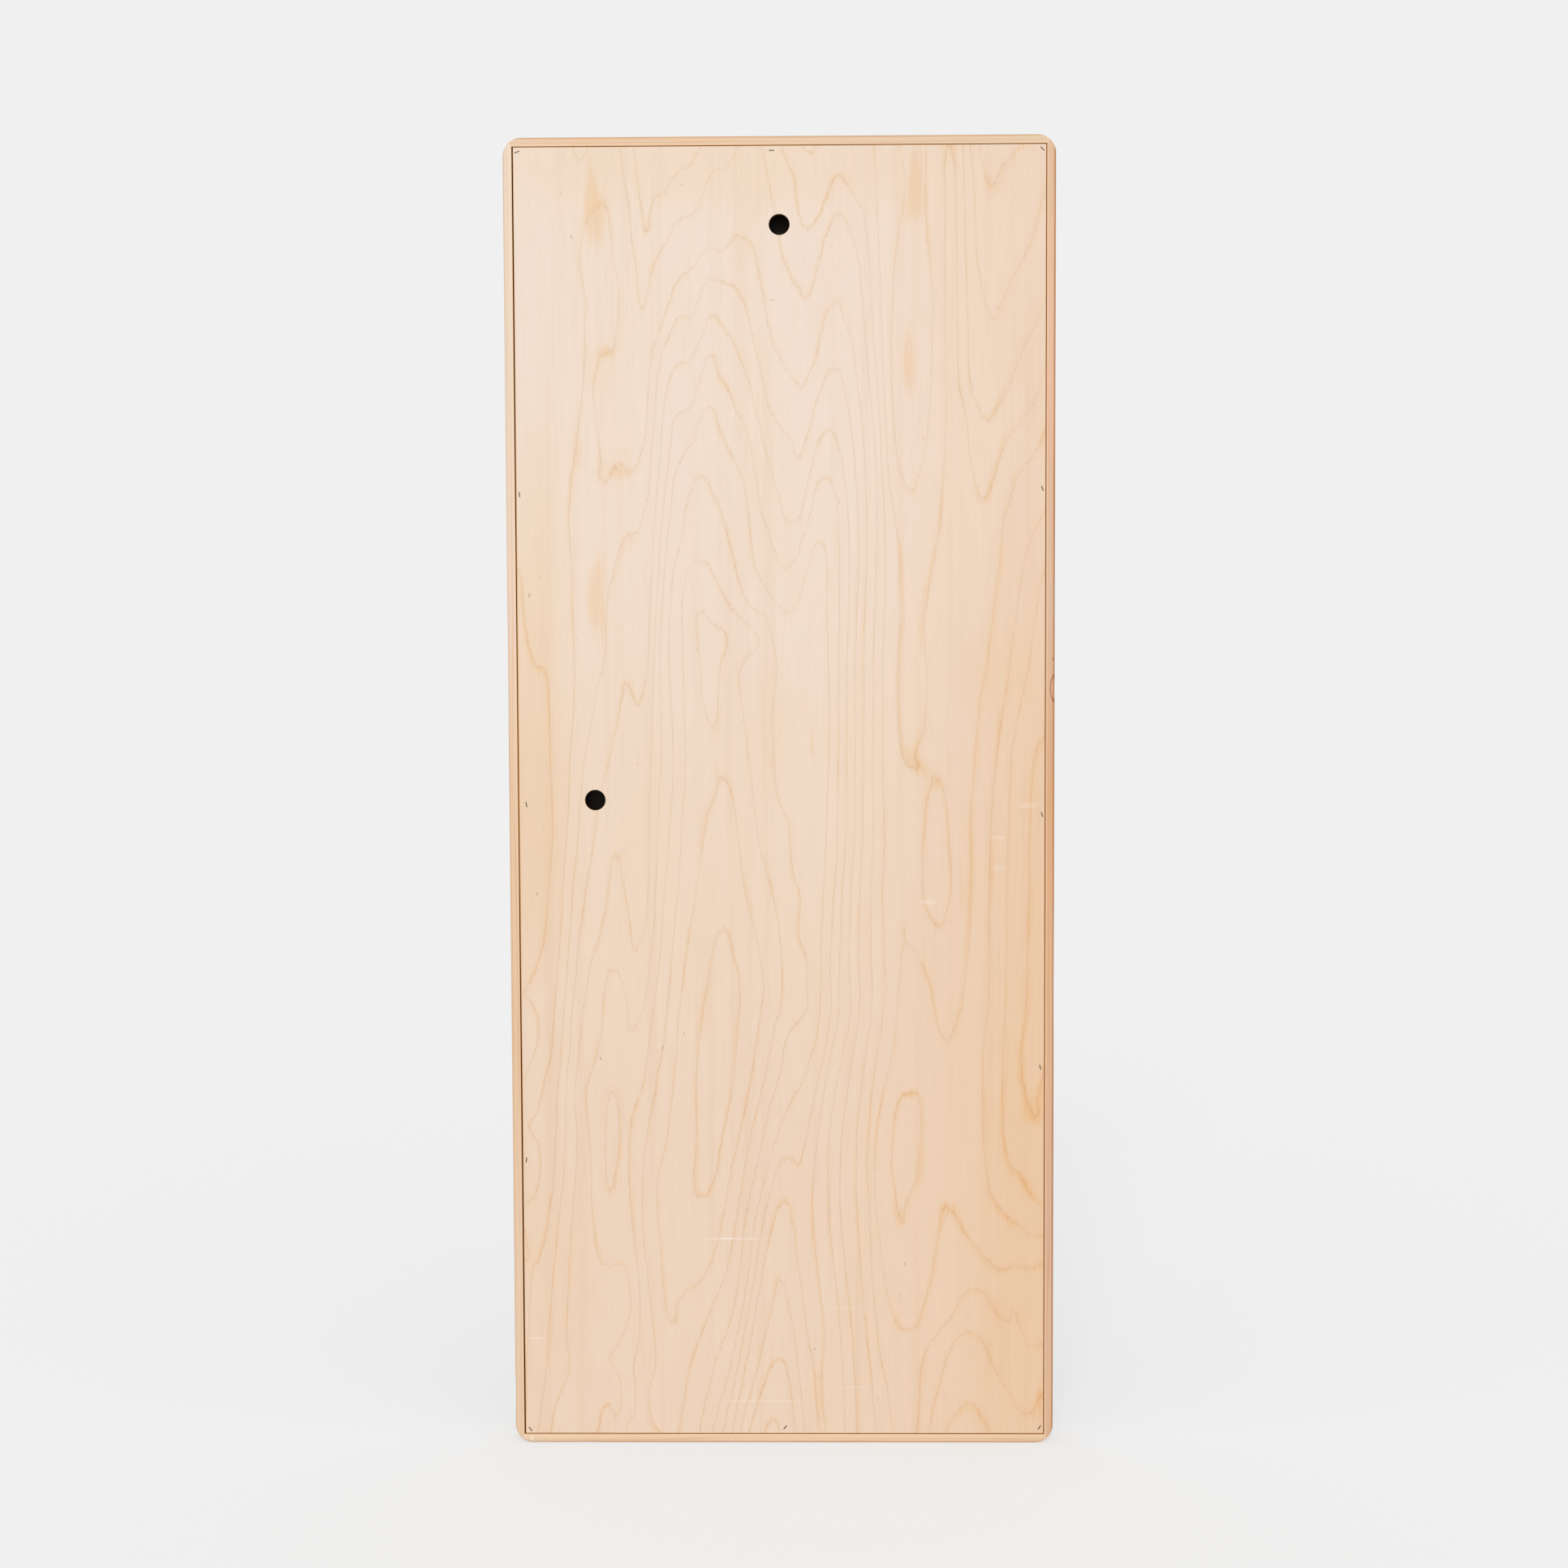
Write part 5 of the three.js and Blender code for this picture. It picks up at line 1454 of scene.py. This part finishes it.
class StageOperator(bpy.types.Operator):
    """Sets the pale floor, the soft studio light and the camera"""

    bl_idname = "slant_board.stage"
    bl_label = "Stage"

    def execute(self, context):
        colours = context.scene.board_colours
        self.floor(colours)
        self.light(context.scene, colours)
        self.camera(context.scene)
        return {"FINISHED"}

    @staticmethod
    def floor(colours):
        """Lays a floor out to the horizon, with a little light of its own."""
        mesh = bpy.data.meshes.new("floor")
        corners = [(FLOOR_REACH * x, FLOOR_REACH * y, -FLOOR_DROP) for x, y in ((-1, -1), (1, -1), (1, 1), (-1, 1))]
        mesh.from_pydata(corners, [], [(0, 1, 2, 3)])
        made = bpy.data.objects.new("floor", mesh)
        bpy.context.scene.collection.objects.link(made)
        f = Finish("studio_floor")
        glow = {"emission_color": rgba(colours.floor_glow), "emission_strength": 1.0}
        dress(made, f.done(rgba(colours.floor), 1.0, specular_ior_level=0.0, **glow))

    @staticmethod
    def light(scene, colours):
        """Sets a plain pale wall of light all round, and one soft key light."""
        world = bpy.data.worlds.new("studio")
        scene.world = world
        world.use_nodes = True
        wall = world.node_tree.nodes["Background"]
        wall.inputs["Color"].default_value = rgba(colours.wall)
        wall.inputs["Strength"].default_value = 1.0
        lamp = bpy.data.lights.new("soft_key", "SUN")
        lamp.energy, lamp.angle = KEY_STRENGTH, math.radians(KEY_WIDTH)
        made = bpy.data.objects.new("soft_key", lamp)
        scene.collection.objects.link(made)
        made.rotation_euler = Vector(KEY_FROM).to_track_quat("Z", "Y").to_euler()

    @staticmethod
    def camera(scene):
        """Stands the camera in front of the board's back."""
        lens = bpy.data.cameras.new("camera")
        lens.lens, lens.sensor_width = CAMERA_LENS, CAMERA_FILM
        lens.clip_start, lens.clip_end = 0.05, 500.0
        made = bpy.data.objects.new("camera", lens)
        scene.collection.objects.link(made)
        pitch, yaw, roll = (math.radians(turn) for turn in CAMERA_TURN)
        ahead = Vector((-math.sin(yaw) * math.cos(pitch), math.cos(yaw) * math.cos(pitch), math.sin(pitch)))
        level = Vector((math.cos(yaw), math.sin(yaw), 0))
        above = level.cross(ahead)
        right = level * math.cos(roll) + above * math.sin(roll)
        up = above * math.cos(roll) - level * math.sin(roll)
        turn = Matrix((right, up, -ahead)).transposed()
        made.matrix_world = Matrix.Translation(CAMERA_PLACE) @ turn.to_4x4()
        scene.camera = made
        scene.view_settings.view_transform = "Standard"
        scene.view_settings.look = "None"


class BoardPanel(bpy.types.Panel):
    """Lists the board's pieces"""

    bl_idname = "VIEW3D_PT_slant_board"
    bl_label = "Slant board"
    bl_space_type = "VIEW_3D"
    bl_region_type = "UI"
    bl_category = "Slant board"

    def draw(self, context):
        for operator in OPERATORS:
            self.layout.operator(operator.bl_idname)
        for group in (context.scene.board_sizes, context.scene.board_colours):
            box = self.layout.box()
            for name in group.bl_rna.properties.keys():
                if name not in ("rna_type", "name"):
                    box.prop(group, name)


OPERATORS = (
    StageOperator,
    RailsOperator,
    BackPanelOperator,
    StaplesOperator,
    DeckOperator,
    DeckScrewsOperator,
    InnerWorkOperator,
)
CLASSES = (BoardSizes, BoardColours, *OPERATORS, BoardPanel)


def register():
    """Registers the classes and hangs the board's sizes and colours on the scene."""
    for kind in CLASSES:
        bpy.utils.register_class(kind)
    bpy.types.Scene.board_sizes = bpy.props.PointerProperty(type=BoardSizes)
    bpy.types.Scene.board_colours = bpy.props.PointerProperty(type=BoardColours)


def unregister():
    """Takes back what register did."""
    del bpy.types.Scene.board_colours
    del bpy.types.Scene.board_sizes
    for kind in reversed(CLASSES):
        bpy.utils.unregister_class(kind)


def main():
    """Builds the whole board and its stage."""
    register()
    bpy.ops.slant_board.stage()
    bpy.ops.slant_board.rails()
    bpy.ops.slant_board.back_panel()
    bpy.ops.slant_board.staples()
    bpy.ops.slant_board.deck()
    bpy.ops.slant_board.deck_screws()
    bpy.ops.slant_board.inner_work()


if __name__ == "__main__":
    main()
